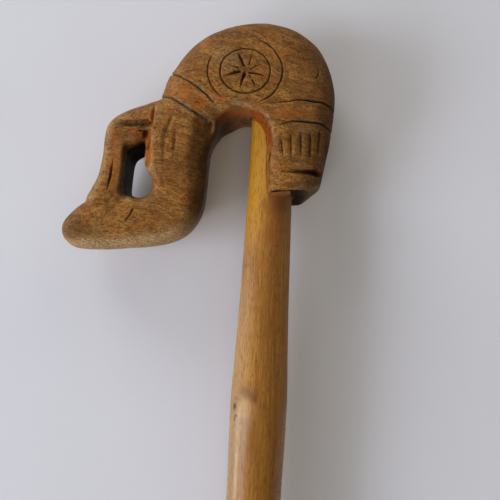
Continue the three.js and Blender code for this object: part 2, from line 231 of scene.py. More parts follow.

# Patches on the carved face: the stain, its middle in pixels, its half sizes in pixels and how
# strong it is. Many of the dark ones are painted shade, where light falls short.
PATCHES = (
    ("dust", (246.6, 68.4), (3.2, 3.6), 0.22),
    ("soot", (245.6, 69.4), (3.6, 3.8), 0.55),
    ("soot", (246, 71), (9, 9), 0.2),
    ("dust", (247, 62), (2.6, 4.4), 0.2),
    ("dust", (236, 102.4), (6, 3.4), 0.65),
    ("dust", (247, 105), (6, 2.4), 0.6),
    ("dust", (176, 101), (8, 3), 0.22),
    ("dust", (181, 77.5), (6, 3), 0.1),
    ("dust", (67, 238), (5, 6), 0.12),
    ("wear", (100, 228), (14, 8), 0.12),
    ("wear", (224, 60), (18, 18), 0.2),
    ("wear", (158, 112), (5, 12), 0.25),
    ("wear", (120, 116), (12, 5), 0.3),
    ("wear", (110, 150), (4, 22), 0.12),
    ("wear", (117, 166), (4, 24), 0.25),
    ("wear", (118, 146), (6, 12), 0.25),
    ("wear", (119, 193), (6, 7), 0.3),
    ("wear", (275, 150), (4, 24), 0.05),
    ("amber", (220, 99), (5, 3), 0.4),
    ("amber", (199, 104), (9, 6), 0.35),
    ("amber", (182, 92), (16, 9), 0.25),
    ("amber", (150, 114), (4, 7), 0.45),
    ("amber", (136, 137), (13, 9), 0.25),
    ("amber", (116, 160), (8, 36), 0.42),
    ("amber", (149.2, 149), (2.8, 20), 1),
    ("amber", (238, 121), (26, 14), 1),
    ("amber", (300, 112), (22, 5), 0.3),
    ("soot", (149.2, 149), (2.8, 20), 0.12),
    # Painted shade with dirt in the gouged pocket under the arm's top and on the bevel below it
    ("soot", (131, 122.8), (14, 4.8), 0.6),
    ("soot", (144, 123.8), (8.5, 6.5), 0.62),
    ("soot", (134, 135), (14, 8), 0.22),
    # Painted shadow at the belt's end under the arch
    ("soot", (212, 113), (9, 12), 0.36),
    ("soot", (210, 122), (7, 11), 0.42),
    # This one and the next: painted shade on the dome's top and upper right
    ("soot", (232, 30), (44, 13), 0.2),
    ("soot", (300, 42), (20, 14), 0.2),
    ("soot", (268, 72), (14, 24), 0.12),
    ("soot", (70, 226), (20, 17), 0.4),
    # From here on: painted shade on the dome's right edge, the lobe's right side and underside, and the
    # neck's side that faces the gap
    ("soot", (331, 92), (10, 42), 0.18),
    ("soot", (328, 150), (12, 50), 0.25),
    ("soot", (303, 152), (32, 22), 0.14),
    ("soot", (302, 186), (16, 7), 0.42),
    ("soot", (196, 168), (11, 62), 0.44),
)

# A knife cut: its points in the photograph's pixels, its width and depth in millimetres, how
# much dirt and painted shade it holds and how much pale dust lies beside it, from 0 to 1, the share of its
# length over which it thins out at its start and at its end, and whether it goes through to the back.
Cut = namedtuple("Cut", "points width depth soot dust start end through", defaults=(0, 0.2, 0.2, False))

ROSETTE_CENTRE = (245.3, 70.8)
INNER_RING = (25.2, 22.2)
OUTER_RING = (37.4, 33.4)
RING_POINTS = 24
# The rings: half sizes, from one angle to another in degrees, width, depth, dirt with painted shade
# and the share over which both ends thin out
RINGS = (
    (INNER_RING, 0, 360, 1.1, 0.45, 0.9, 0),
    (OUTER_RING, 78, -76, 1.3, 0.5, 0.85, 0.15),
    (OUTER_RING, 150, 236, 1.15, 0.45, 0.72, 0.15),
    (OUTER_RING, 95, 74, 0.7, 0.15, 0.35, 0.15),
)
# The star: each spoke's run from the hub, its width, depth, dirt with painted shade and how far out it
# thins
SPOKES = (
    (((245, 66.5), (241.5, 59.5), (238, 51.3)), 1.7, 0.8, 0.9, 0.3),
    (((249, 65), (250.8, 59.6), (252.7, 52.6)), 1.1, 0.4, 0.55, 0.5),
    (((249.5, 70), (256, 66), (264.8, 62.6)), 0.9, 0.35, 0.55, 0.5),
    (((248.5, 72.4), (258.4, 73.7), (266.4, 76.4)), 1.2, 0.65, 0.9, 0.35),
    (((250, 75), (251.4, 77.6)), 0.9, 0.45, 0.85, 0.3),
    (((252, 79.6), (255.6, 85.6)), 1.1, 0.55, 0.9, 0.4),
    (((245.4, 72), (242.4, 80.5), (239.7, 90)), 2.1, 1.0, 1, 0.75),
    (((241, 70.8), (231.6, 73.2), (222.5, 77)), 2.2, 1.0, 1, 0.75),
    (((239.5, 67.8), (232.9, 65.4), (224.6, 63.4)), 1.5, 0.6, 0.85, 0.8),
)
# The share of a spoke's length over which it sets in at the hub
SPOKE_START = 0.05
# The fringe on the lobe: where each cut starts and ends
FRINGE = (
    ((281, 139), (282.5, 157)),
    ((291, 133.5), (291.3, 158)),
    ((301, 133), (301.2, 158)),
    ((311, 132), (310.4, 160)),
    ((320.6, 130), (318.4, 158)),
    ((327.5, 133), (325.5, 160)),
)
# Each is a broad shallow cut with a narrow one in it: width, depth, dirt with painted shade, dust and how
# both thin
FRINGE_CUTS = ((3.0, 0.5, 0.1, 0, 0.12, 0.2), (1.25, 0.75, 0.85, 0, 0.15, 0.25))

LINE_CUTS = (
    # belt between dome and neck
    Cut(((166, 69), (174, 74.2), (182, 78.9), (192, 85.6), (201, 92), (207.5, 97.6), (214, 104.5)),
        1.5, 0.8, 0.5, 0.45, 0, 0, True),
    Cut(((194, 102.6), (197, 101.6), (200.5, 103.8)), 0.9, 0.3, 0.65),
    Cut(((154, 93), (163, 96.2), (170.5, 98.7), (179.5, 104), (188.3, 109.8), (197.2, 115.5), (207, 120.5)),
        1.7, 0.9, 0.42, 0.6, 0, 0, True),
    # bands of the lobe
    Cut(((258, 106.8), (266, 106.2), (278, 105.2), (288, 104.2), (296, 102.8), (304, 102.9),
         (312, 104), (320, 104.6), (326, 105.8), (342, 113)),
        1.5, 0.85, 0.85, 0, 0.6, 0, True),
    Cut(((264, 131), (278, 127), (285, 125), (291, 123.9), (297.5, 123.5), (304, 124),
         (310, 124.4), (317, 124.9), (323, 126.4), (338, 133)),
        1.6, 0.85, 0.85, 0.1, 0.5, 0, True),
    # flutes of the neck, cuts of arm and head
    Cut(((172.5, 113), (170, 120), (165.5, 131), (163.5, 142), (163, 154), (162.5, 168)),
        3.0, 0.45, 0.48, 0, 0.3, 0.3),
    Cut(((170.6, 118), (166, 130), (164, 141)), 1.3, 0.4, 0.62, 0, 0.4, 0.4),
    Cut(((175.6, 126), (174.4, 140), (173, 158)), 2.6, 0.42, 0.38, 0, 0.3, 0.3),
    Cut(((175, 133), (173.6, 150)), 1.0, 0.35, 0.6, 0, 0.4, 0.4),
    Cut(((113.2, 159), (111, 173), (107, 191)), 1.6, 0.9, 0.8, 0, 0.35, 0.35),
    Cut(((134.5, 206), (130.5, 214), (124.8, 221.6)), 1.2, 0.5, 0.65, 0, 0.2, 0.1),
    Cut(((117.5, 220.4), (124, 222)), 0.9, 0.3, 0.5),
    Cut(((154.6, 103), (153.2, 114), (151.8, 128)), 2.2, 0.7, 0.3, 0, 0.3, 0.2),
    # under the arm's top: a gouged pocket
    Cut(((121.5, 124.8), (130, 124.2), (141, 123.8)), 2.8, 0.8, 0.66, 0, 0.4, 0.05),
    Cut(((136, 124), (144, 123.4), (151, 122.4)), 4.2, 1.3, 0.74, 0, 0.4, 0.02),
    Cut(((138.5, 130.2), (144.4, 130.8)), 1.3, 0.7, 0.85, 0, 0.1, 0.1),
    # torn fibres on the arch, along the glue
    Cut(((233, 103.4), (241, 103.6), (250, 105.6), (258, 108.6), (264, 113.4), (269.6, 119.6),
         (273, 128), (274, 137)),
        1.3, 0.15, 0, 0.42, 0.1, 0.3),
    # cheek: dark line beside the glue, faint line and the edge of its foot
    Cut(((270.6, 152), (269.4, 160), (269.2, 170), (269.5, 180), (270.8, 191)), 0.7, 0.3, 0.7, 0, 0.2, 0.1),
    Cut(((269, 177), (276, 175.6), (284.6, 173.4)), 0.7, 0.15, 0.35),
    Cut(((269.5, 189.8), (275, 190.8), (281, 189.4), (290, 188.6)), 0.8, 0.35, 0.5, 0.3, 0, 0.1),
    # nicks and a scratch on the dome
    Cut(((317.4, 68), (318.8, 72.4), (317.8, 76.4), (315.6, 78.4)), 1.1, 0.35, 0.95),
    Cut(((322.2, 70.4), (323.6, 73.6), (322.8, 77)), 0.9, 0.3, 0.8),
    Cut(((283, 56), (290, 55), (297, 56.5)), 0.7, 0.2, 0.35),
    # the mouth-like slit, widest near the lobe's edge
    Cut(((321.5, 175.6), (318, 174), (312, 172.3), (304, 171.4), (296, 171.2), (288, 171.3), (280, 171.2)),
        4.6, 2.6, 1, 0, 0.06, 0.8),
)


def linear(colour):
    """An sRGB hex colour as three linear numbers."""
    parts = np.array([int(colour[i:i + 2], 16) for i in (1, 3, 5)]) / 255
    return tuple(np.where(parts <= 0.04045, parts / 12.92, ((parts + 0.055) / 1.055) ** 2.4))


def colour_setting(name, colour, description):
    """A colour that the user may change, given as sRGB hex."""
    default = linear(colour)
    return FloatVectorProperty(
        name=name, description=description, subtype="COLOR", size=3, min=0, max=1, default=default
    )


def length_setting(name, length, description):
    """A length that the user may change, given in millimetres."""
    return FloatProperty(name=name, description=description, default=length * MM, min=0, unit="LENGTH")


class HandleSettings(bpy.types.PropertyGroup):
    """Sizes and colours of the carved handle"""

    width: length_setting("Width", 106, "Unit of the shares across the handle")
    height: length_setting("Height", 94, "From the head's underside to the top of the dome")
    thickness: length_setting("Thickness", 34, "From the carved face to the back")
    skin: length_setting("Skin", 0.6, "Spacing of the surface's points, halved twice at the cuts")
    waviness: length_setting("Waviness", 0.22, "How far the knife left the surface uneven")
    light_wood: colour_setting("Light wood", "#9a6b30", "Between the flecks")
    dark_wood: colour_setting("Dark wood", "#784d21", "Broad darker parts")
    fleck: colour_setting("Flecks", "#452c14", "Short dark pores along the grain")
    # This colour is also the painted shade in the cuts, the through hole, the lobe's sawn end and beside
    # the finger gap
    soot: colour_setting("Dirt", "#17110b", "Old dirt and varnish in the cuts")
    dust: colour_setting("Dust", "#897c67", "Dust and bare fibres on worn edges")
    amber: colour_setting("Amber", "#a04c02", "Facets where varnish pooled")


class ShaftSettings(bpy.types.PropertyGroup):
    """Diameters and colours of the shaft"""

    top: length_setting("Top", 18, "Diameter in the socket")
    waist: length_setting("Waist", 20, "Diameter between socket and node")
    node: length_setting("Node", 23.1, "Diameter over the node")
    body: length_setting("Body", 22.4, "Diameter under the node")
    foot: length_setting("Foot", 17.4, "Diameter in the ferrule")
    gold: colour_setting("Gold", "#9b6a19", "Clear straight-grained wood")
    honey: colour_setting("Honey", "#81510f", "Darker streaks")


class FootSettings(bpy.types.PropertyGroup):
    """Sizes and colours of the rubber ferrule"""

    sole: length_setting("Sole", 34, "Diameter of the sole")
    rubber: colour_setting("Rubber", "#1d1d1e", "Carbon-black rubber")
    grime: colour_setting("Grime", "#6d6459", "Street dust low on the rubber")


class StageSettings(bpy.types.PropertyGroup):
    """Place and colour of the board behind the stick"""

    gap: length_setting("Gap", 19.5, "From the shaft's axis to the board behind it")
    board: colour_setting("Board", "#cacbd0", "Pale matt board and floor")


class StickSettings(bpy.types.PropertyGroup):
    """All settings of the stick, by piece"""

    handle: PointerProperty(type=HandleSettings)
    shaft: PointerProperty(type=ShaftSettings)
    foot: PointerProperty(type=FootSettings)
    stage: PointerProperty(type=StageSettings)


# Numbers that the handle's mesh keeps for its material: stains and wear, which also carry painted shade and
# painted light
STAINS_AND_SHADE = ("soot", "dust", "wear", "amber", "hollow")


# Curves, grids and noise


def smooth_run(rows, steps):
    """Rows read on a Catmull-Rom curve through them, at even steps: between two rows a cubic
    whose slope at each is half the difference of its neighbours."""
    rows = np.asarray(rows, float)
    ends = 2 * rows[0] - rows[1], 2 * rows[-1] - rows[-2]
    rows = np.concatenate([ends[:1], rows, ends[1:]])
    place = np.linspace(0, len(rows) - 3, steps)
    span = np.minimum(place.astype(int), len(rows) - 4)
    part = (place - span)[:, None]
    before, start, end, after = (rows[span + offset] for offset in range(4))
    leave, arrive = (end - before) / 2, (after - start) / 2
    square = 3 * (end - start) - 2 * leave - arrive
    cube = 2 * (start - end) + leave + arrive
    return start + part * (leave + part * (square + part * cube))


def signed_power(values, power):
    """sgn(v)|v|^p of each value."""
    return np.sign(values) * np.abs(values) ** power


def smooth_step(values, low, high):
    """0 below low, 1 above high, and the curve 3t² - 2t³ between."""
    part = np.clip((values - low) / (high - low), 0, 1)
    return part * part * (3 - 2 * part)


def between(values, start, full, fades, gone):
    """0 up to the start, 1 from full on until it fades, and 0 again where it is gone."""
    return smooth_step(values, start, full) * (1 - smooth_step(values, fades, gone))


def lattice_noise(points, size, seed):
    """Smooth numbers from -1 to 1: random values on a cubic lattice of that size, blended
    between the eight corners round each point."""
    scaled = points / size
    corner = np.floor(scaled).astype(int)
    part = scaled - corner
    part = part * part * (3 - 2 * part)
    corner -= corner.min(0)
    values = np.random.default_rng(seed).uniform(-1, 1, corner.max(0) + 2)
    total = np.zeros(len(points))
    for step in np.ndindex(2, 2, 2):
        weight = np.where(np.array(step) == 1, part, 1 - part).prod(1)
        total += weight * values[tuple((corner + step).T)]
    return total


def tube_faces(rings, sides):
    """Quads between neighbouring rings, closed round the sides."""
    ring, side = np.meshgrid(np.arange(rings - 1), np.arange(sides), indexing="ij")
    first = ring * sides + side
    second = ring * sides + (side + 1) % sides
    return np.stack([first, second, second + sides, first + sides], -1).reshape(-1, 4)


def tube_mesh(name, rings):
    """A mesh through rings of points, a grid of ring by side, with a face over each end."""
    count, sides = rings.shape[:2]
    faces = tube_faces(count, sides).tolist()
    faces.append(list(range(sides))[::-1])
    faces.append(list(range((count - 1) * sides, count * sides)))
    mesh = bpy.data.meshes.new(name)
    mesh.from_pydata((rings.reshape(-1, 3) * MM).tolist(), [], faces)
    return mesh


def turned_mesh(name, profile, sides, swell=1):
    """A profile of radius and height turned round Z: the point at angle a is (r sin a,
    -r cos a, z), where r is the profile's radius times the swell at that ring and angle. It
    starts and ends on the axis, and each end is welded to one point."""
    angle = np.arange(sides) * (2 * np.pi / sides)
    radius = profile[:, :1] * swell
    height = np.broadcast_to(profile[:, 1:], (len(profile), sides))
    points = np.stack([radius * np.sin(angle), -radius * np.cos(angle), height], -1)
    mesh = bpy.data.meshes.new(name)
    mesh.from_pydata((points.reshape(-1, 3) * MM).tolist(), [], tube_faces(len(profile), sides).tolist())
    close_up(mesh, MM / 1000)
    return mesh


def close_up(mesh, distance):
    """Welds doubles and turns all faces outwards."""
    work = bmesh.new()
    work.from_mesh(mesh)
    bmesh.ops.remove_doubles(work, verts=work.verts, dist=distance)
    bmesh.ops.recalc_face_normals(work, faces=work.faces)
    work.to_mesh(mesh)
    work.free()


def rounded(corners, radius, steps):
    """A profile whose inner corners are rounded: each gives way to the curve (1-t)²a + 2t(1-t)c
    + t²b between the points a and b, a radius before and after it, or nearly half its sides."""
    corners = np.asarray(corners, float)
    side = np.diff(corners, axis=0)
    reach = np.linalg.norm(side, axis=1)
    back = np.minimum(radius, reach * 0.45)
    into, out = back[:-1, None], back[1:, None]
    middle = corners[1:-1]
    start = middle - side[:-1] / reach[:-1, None] * into
    end = middle + side[1:] / reach[1:, None] * out
    t = np.linspace(0, 1, steps)[:, None, None]
    curve = (1 - t) ** 2 * start + 2 * t * (1 - t) * middle + t ** 2 * end
    curve = curve.transpose(1, 0, 2).reshape(-1, 2)
    return np.concatenate([corners[:1], curve, corners[-1:]])


def new_object(name, data):
    """A new object with that data, in the scene."""
    made = bpy.data.objects.new(name, data)
    bpy.context.scene.collection.objects.link(made)
    return made


def finished(name, mesh, material, body, slot, *nodes):
    """A shown piece at the origin, smooth, with its material, its body and CAD nodes; the slot is not used.
    """
    mesh.shade_smooth()
    mesh.materials.clear()
    mesh.materials.append(material)
    piece = new_object(name, mesh)
    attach(piece, body)
    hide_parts(*nodes)


def sight_lines(pixels):
    """Directions from the eye through pixels: across and up in the picture over the focal
    length, turned by the roll, and one ahead."""
    across = (pixels[:, 0] - PICTURE / 2) / FOCAL
    up = (PICTURE / 2 - pixels[:, 1]) / FOCAL
    ahead = np.ones(len(pixels))
    return np.stack([
        across * math.cos(ROLL) - up * math.sin(ROLL), ahead,
        across * math.sin(ROLL) + up * math.cos(ROLL),
    ], 1)


def at_depth(pixels, depth):
    """Places behind pixels on the plane at that depth along Y."""
    pixels = np.asarray(pixels, float)
    return EYE + sight_lines(pixels) * (depth - EYE[1])


def surface_tree(mesh):
    """A search tree of a mesh, for lines of sight."""
    places = [point.co for point in mesh.vertices]
    return BVHTree.FromPolygons(places, [tuple(face.vertices) for face in mesh.polygons])


def on_surface(tree, pixels):
    """Places where the lines of sight through pixels meet a surface."""
    hits = [tree.ray_cast(Vector(EYE * MM), Vector(line))[0] for line in sight_lines(pixels)]
    return np.array([hit for hit in hits if hit is not None]) / MM


def laid_on(tree, pixels, rounds):
    """A run of places behind pixels at the depth of a surface. Where a line of sight misses it
    or passes it by, the depth comes from the hits before and after, and all depths are evened
    out, each drawn towards the mean of its neighbours."""
    lines = sight_lines(pixels)
    hits = [tree.ray_cast(Vector(EYE * MM), Vector(line))[0] for line in lines]
    depth = np.array([np.nan if hit is None else hit[1] / MM for hit in hits])
    met = np.flatnonzero(depth < PASSED_BY)
    depth = np.interp(np.arange(len(lines)), met, depth[met])
    for _ in range(rounds):
        depth[1:-1] = depth[1:-1] / 2 + (depth[:-2] + depth[2:]) / 4
    return EYE + lines * (depth - EYE[1])[:, None]


# The carved handle

# A piece stays under 200,000 triangles
MOST_TRIANGLES = 190_000


def limb_mesh(name, shares, settings, sides):
    """A limb: at angle a of a section the point is middle + reach · sgn(cos a)|cos a|^(2/n)
    towards the outer edge, and half the thickness · sgn(sin a)|sin a|^(2/n) to the back, with
    n the squareness of that half. The slant sets the inner half further in towards the back."""
    rows = smooth_run(shares, (len(shares) - 1) * STEPS_PER_ROW + 1)
    unit = np.array([settings.width, settings.height]) / MM
    outer, inner = rows[:, 0:2] * unit, rows[:, 2:4] * unit
    middle, reach = (outer + inner) / 2, np.linalg.norm(outer - inner, axis=1)[:, None] / 2
    towards = (outer - middle) / reach
    angle = np.arange(sides) * (2 * np.pi / sides)
    squareness = np.where(np.cos(angle) > 0, rows[:, 5:6], rows[:, 6:7])
    across = signed_power(np.cos(angle), 2 / squareness)
    back = signed_power(np.sin(angle), 2 / squareness)
    lift = np.minimum(across, 0) * back * rows[:, 7:8] * ARCH_SLANT / 2
    flat = middle[:, None] + towards[:, None] * (across * reach + lift)[..., None]
    depth = back * rows[:, 4:5] * settings.thickness / MM / 2
    points = np.stack([flat[..., 0], depth, flat[..., 1] + handle_foot(settings)], -1)
    mesh = tube_mesh(name, points)
    close_up(mesh, 0)
    return mesh


def handle_foot(settings):
    """Height of the head's underside."""
    return cad_box[1].z / MM - settings.height / MM


def lobe_end(settings):
    """Height of the saw cut in the lobe's middle."""
    return handle_foot(settings) + LOBE_END_SHARE * settings.height / MM


def lobe_end_block(settings):
    """The block under the saw cut: its top passes through the lobe's middle, rises outwards and
    falls to the back."""
    width, depth, height = LOBE_END_BLOCK
    sides, backs = [-width / 2, width / 2], [-depth / 2, depth / 2]
    across, back, up = np.meshgrid(sides, backs, [-height, 0], indexing="ij")
    up = up + across * math.tan(LOBE_END_RISE) - back * math.tan(LOBE_END_FALL)
    across = across + LOBE_MIDDLE_SHARE * settings.width / MM
    corners = np.stack([across, back, up + lobe_end(settings)], -1)
    rings = corners.transpose(2, 0, 1, 3)[:, [0, 0, 1, 1], [0, 1, 1, 0]]
    mesh = tube_mesh("lobe_end_block", rings)
    close_up(mesh, 0)
    return mesh


def socket_bar(settings):
    """The bar that bores the socket, up to just over the shaft's top."""
    shaft_radius = bpy.context.scene.stick.shaft.top / MM / 2
    foot = SOCKET_BAR_FOOT
    top = lobe_end(settings) + SHAFT_LAP + SOCKET_RADIUS - shaft_radius
    corners = [[0, foot], [SOCKET_RADIUS, foot], [SOCKET_RADIUS, top], [0, top]]
    return turned_mesh("socket_bar", np.array(corners, float), SHAFT_SIDES)


def with_modifiers(mesh, *modifiers):
    """A new mesh after modifiers, each a type and a dict of settings."""
    holder = new_object("holder", mesh)
    for kind, values in modifiers:
        modifier = holder.modifiers.new(kind, kind)
        for key, value in values.items():
            setattr(modifier, key, value)
    graph = bpy.context.evaluated_depsgraph_get()
    made = bpy.data.meshes.new_from_object(holder.evaluated_get(graph))
    bpy.data.objects.remove(holder)
    return made


def joined(*meshes):
    """One mesh with all their faces, not yet welded."""
    work = bmesh.new()
    for mesh in meshes:
        work.from_mesh(mesh)
    made = bpy.data.meshes.new("joined")
    work.to_mesh(made)
    work.free()
    return made


def read_points(mesh):
    """A mesh's points in millimetres, one row each."""
    points = np.empty(len(mesh.vertices) * 3, np.float32)
    mesh.vertices.foreach_get("co", points)
    return points.reshape(-1, 3).astype(float) / MM


def write_points(mesh, points):
    """Moves a mesh's points to the given places in millimetres."""
    mesh.vertices.foreach_set("co", (points * MM).astype(np.float32).ravel())
    mesh.update()


def read_normals(mesh):
    """A mesh's normals, one row for each point."""
    normals = np.empty(len(mesh.vertices) * 3, np.float32)
    mesh.vertices.foreach_get("normal", normals)
    return normals.reshape(-1, 3).astype(float)


def read_edges(mesh):
    """A mesh's edges, each by its two points."""
    edges = np.empty(len(mesh.edges) * 2, np.int32)
    mesh.edges.foreach_get("vertices", edges)
    return edges.reshape(-1, 2)


def relaxed(points, edges, rounds, strength=0.5):
    """Points drawn towards the mean of their neighbours, round by round."""
    count = np.bincount(edges.ravel(), minlength=len(points))[:, None]
    both = np.concatenate([edges, edges[:, ::-1]])
    share = np.broadcast_to(strength, len(points))[:, None]
    for _ in range(rounds):
        total = np.stack([
            np.bincount(both[:, 0], points[both[:, 1], axis], len(points)) for axis in range(3)
        ], 1)
        points = points + share * (total / count - points)
    return points


def nearest_on_line(points, line):
    """Distance of each point from a line of short straight runs, and the share of the line that
    lies before the nearest place."""
    start, run = line[:-1], np.diff(line, axis=0)
    offset = points[:, None] - start
    share = np.clip((offset * run).sum(2) / (run ** 2).sum(1), 0, 1)
    gap = np.linalg.norm(offset - share[..., None] * run, axis=2)
    best = gap.argmin(1)
    rows = np.arange(len(points))
    return gap[rows, best], (best + share[rows, best]) / len(run)


def ring_cut(size, start, end, width, depth, soot, thin):
    """Part of an ellipse round the rosette's centre, from one angle to another in degrees."""
    angle = np.radians(np.linspace(start, end, RING_POINTS))
    across, up = ROSETTE_CENTRE
    points = np.stack([across + size[0] * np.cos(angle), up - size[1] * np.sin(angle)], 1)
    return Cut(points, width, depth, soot, 0, thin, thin)


def all_cuts():
    """Every knife cut on the handle."""
    cuts = [*LINE_CUTS, *[ring_cut(*ring) for ring in RINGS]]
    for points, width, depth, soot, thin in SPOKES:
        cuts.append(Cut(points, width, depth, soot, 0, SPOKE_START, thin))
    cuts += [Cut(ends, *shape) for ends in FRINGE for shape in FRINGE_CUTS]
    return cuts


def cut_line(cut, tree):
    """A cut's points in space, about 0.3 mm apart, wandering a little as a hand does: on the
    surface, or on a plane near the face where it goes through."""
    points = np.asarray(cut.points, float)
    length = np.linalg.norm(np.diff(points, axis=0), axis=1).sum()
    fine = smooth_run(points, max(int(length / CUT_STEP), FEWEST_POINTS))
    place = np.column_stack([fine, np.zeros(len(fine))])
    shake = [lattice_noise(place, SHAKE_SIZE, SEED + turn) for turn in (8, 9)]
    fine = fine + np.stack(shake, 1) * HAND_SHAKE
    if cut.through:
        return at_depth(fine, THROUGH_DEPTH)
    return on_surface(tree, fine)


def cut_reach(points, cut, line):
    """Distance from the cut and share along it for the points near it, and which these are."""
    flat = np.array([1, 0 if cut.through else 1, 1])
    points, line = points * flat, line * flat
    reach = cut.width + CUT_SURROUND
    near = np.flatnonzero(((points > line.min(0) - reach) & (points < line.max(0) + reach)).all(1))
    gap, along = nearest_on_line(points[near], line)
    return near, gap, along


def refine(mesh, lines, reach):
    """Halves the edges near the cuts."""
    points = read_points(mesh)
    close = np.zeros(len(points), bool)
    for cut, line in lines:
        near, gap, _ = cut_reach(points, cut, line)
        close[near[gap < cut.width / 2 + reach]] = True
    work = bmesh.new()
    work.from_mesh(mesh)
    edges = [edge for edge in work.edges if close[edge.verts[0].index] and close[edge.verts[1].index]]
    bmesh.ops.subdivide_edges(work, edges=edges, cuts=1, use_grid_fill=True)
    work.to_mesh(mesh)
    work.free()
    mesh.update()


def carve(points, normals, lines, stains_and_shade):
    """Sinks the cuts: each is a V whose depth falls off as a smooth step over half its width and
    thins out towards its ends, with a low burr beside it. Dirt and painted shade gather in it and dust
    beside it."""
    rough = 1 + CUT_UNEVEN * lattice_noise(points, UNEVEN_SIZE, SEED)
    sunk = np.zeros(len(points))
    for cut, line in lines:
        near, gap, along = cut_reach(points, cut, line)
        ends = np.minimum(1, (along + 0.01) / (cut.start + 0.01))
        ends = ends * np.minimum(1, (1.01 - along) / (cut.end + 0.01))
        width = CUT_END_WIDTH + (1 - CUT_END_WIDTH) * ends
        half = np.maximum(cut.width / 2 * width * rough[near], LEAST_HALF)
        groove = 1 - smooth_step(gap / half, 0, 1)
        burr = np.exp(-((gap / half - BURR_MIDDLE) / BURR_SPREAD) ** 2)
        raised = BURR_HEIGHT * ends * burr * (sunk[near] == 0)
        sunk[near] = np.maximum(sunk[near], cut.depth * ends * groove) - raised
        # Dark painted in the cut: dirt and painted shade
        dirt_and_shade = cut.soot * ends ** 0.5 * (1 - smooth_step(gap / half, 0.1, 0.8))
        stains_and_shade["soot"][near] = np.maximum(stains_and_shade["soot"][near], dirt_and_shade)
        pale = cut.dust * (1 - smooth_step(gap / half, 0.7, 1.7))
        stains_and_shade["dust"][near] = np.maximum(stains_and_shade["dust"][near], pale * smooth_step(rough[near], 0.85, 1.1))
    return points - normals * sunk[:, None]


def facet_block(name, corners, away=FACET_AWAY):
    """The wood that a facet took away: a block from its four corners to as far away as given."""
    back = np.array([at_depth([corner[:2]], corner[2])[0] for corner in corners])
    mesh = tube_mesh(name, np.stack([back, back + away]))
    close_up(mesh, 0)
    return mesh


def carved_away(mesh, parts):
    """A closed mesh without what the closed parts cover."""
    holders = [new_object(part.name, part) for part in parts]
    way = {"operation": "DIFFERENCE", "solver": "EXACT"}
    made = with_modifiers(mesh, *[("BOOLEAN", {**way, "object": holder}) for holder in holders])
    for holder in holders:
        bpy.data.objects.remove(holder)
    return made


def handle_mesh(settings):
    """Crook and arm sawn, bored, faceted and made one, given an even skin, relaxed and carved."""
    facets = [facet_block(f"facet_{count}", corners) for count, corners in enumerate(FACETS)]
    crook = limb_mesh("crook", CROOK_SHARES, settings, CROOK_SIDES)
    corner = facet_block("lobe_corner", LOBE_CORNER, LOBE_CORNER_AWAY)
    crook = carved_away(crook, [lobe_end_block(settings), corner, socket_bar(settings), *facets])
    arm = carved_away(limb_mesh("arm", ARM_SHARES, settings, ARM_SIDES), facets[:2])
    skin = settings.skin * 1
    mesh = with_modifiers(joined(crook, arm), ("REMESH", {"mode": "VOXEL", "voxel_size": skin}))
    edges = read_edges(mesh)
    points = relaxed(read_points(mesh), edges, SETTLING_ROUNDS)
    points = relaxed(points, edges, WORN_ROUNDS, WORN_STRENGTH * worn_round(points))
    write_points(mesh, points)
    tree = surface_tree(mesh)
    lines = [(cut, cut_line(cut, tree)) for cut in all_cuts()]
    for reach in REFINED:
        refine(mesh, lines, reach)
    edges = read_edges(mesh)
    points = relaxed(read_points(mesh), edges, SETTLING_ROUNDS)
    write_points(mesh, points)
    normals = read_normals(mesh)
    waviness = settings.waviness / MM
    wave = sum(
        strength * lattice_noise(points, size, SEED + turn)
        for turn, (size, strength) in enumerate(WAVES, 1)
    )
    points = points + normals * (wave * waviness)[:, None]
    stains_and_shade = {name: np.zeros(len(points)) for name in STAINS_AND_SHADE}
    points = carve(points, normals, lines, stains_and_shade)
    write_points(mesh, points)
    broad = relaxed(points, edges, BROAD_ROUNDS)
    # Depth under the broad shape: hollows get painted shade and edges wear
    stains_and_shade["hollow"] = ((broad - points) * normals).sum(1)
    soil_and_shade(points, normals, settings, stains_and_shade)
    for name, values in stains_and_shade.items():
        store(mesh, name, values)
    mesh.calc_loop_triangles()
    ratio = min(1, MOST_TRIANGLES / len(mesh.loop_triangles))
    return with_modifiers(mesh, ("DECIMATE", {"ratio": ratio}))


def seen_at(points):
    """The photograph's pixels at which points show, the reverse of sight_lines."""
    offset = points - EYE
    across, up = offset[:, 0] / offset[:, 1], offset[:, 2] / offset[:, 1]
    right = across * math.cos(ROLL) + up * math.sin(ROLL)
    above = up * math.cos(ROLL) - across * math.sin(ROLL)
    return np.stack([PICTURE / 2 + FOCAL * right, PICTURE / 2 - FOCAL * above], 1)


def worn_round(points):
    """Where the neck's edge beside the finger gap is worn round, from 0 to 1."""
    across, down = seen_at(points).T
    return between(across, *WORN_ACROSS) * between(down, *WORN_DOWN) * (points[:, 1] < WORN_BACK)


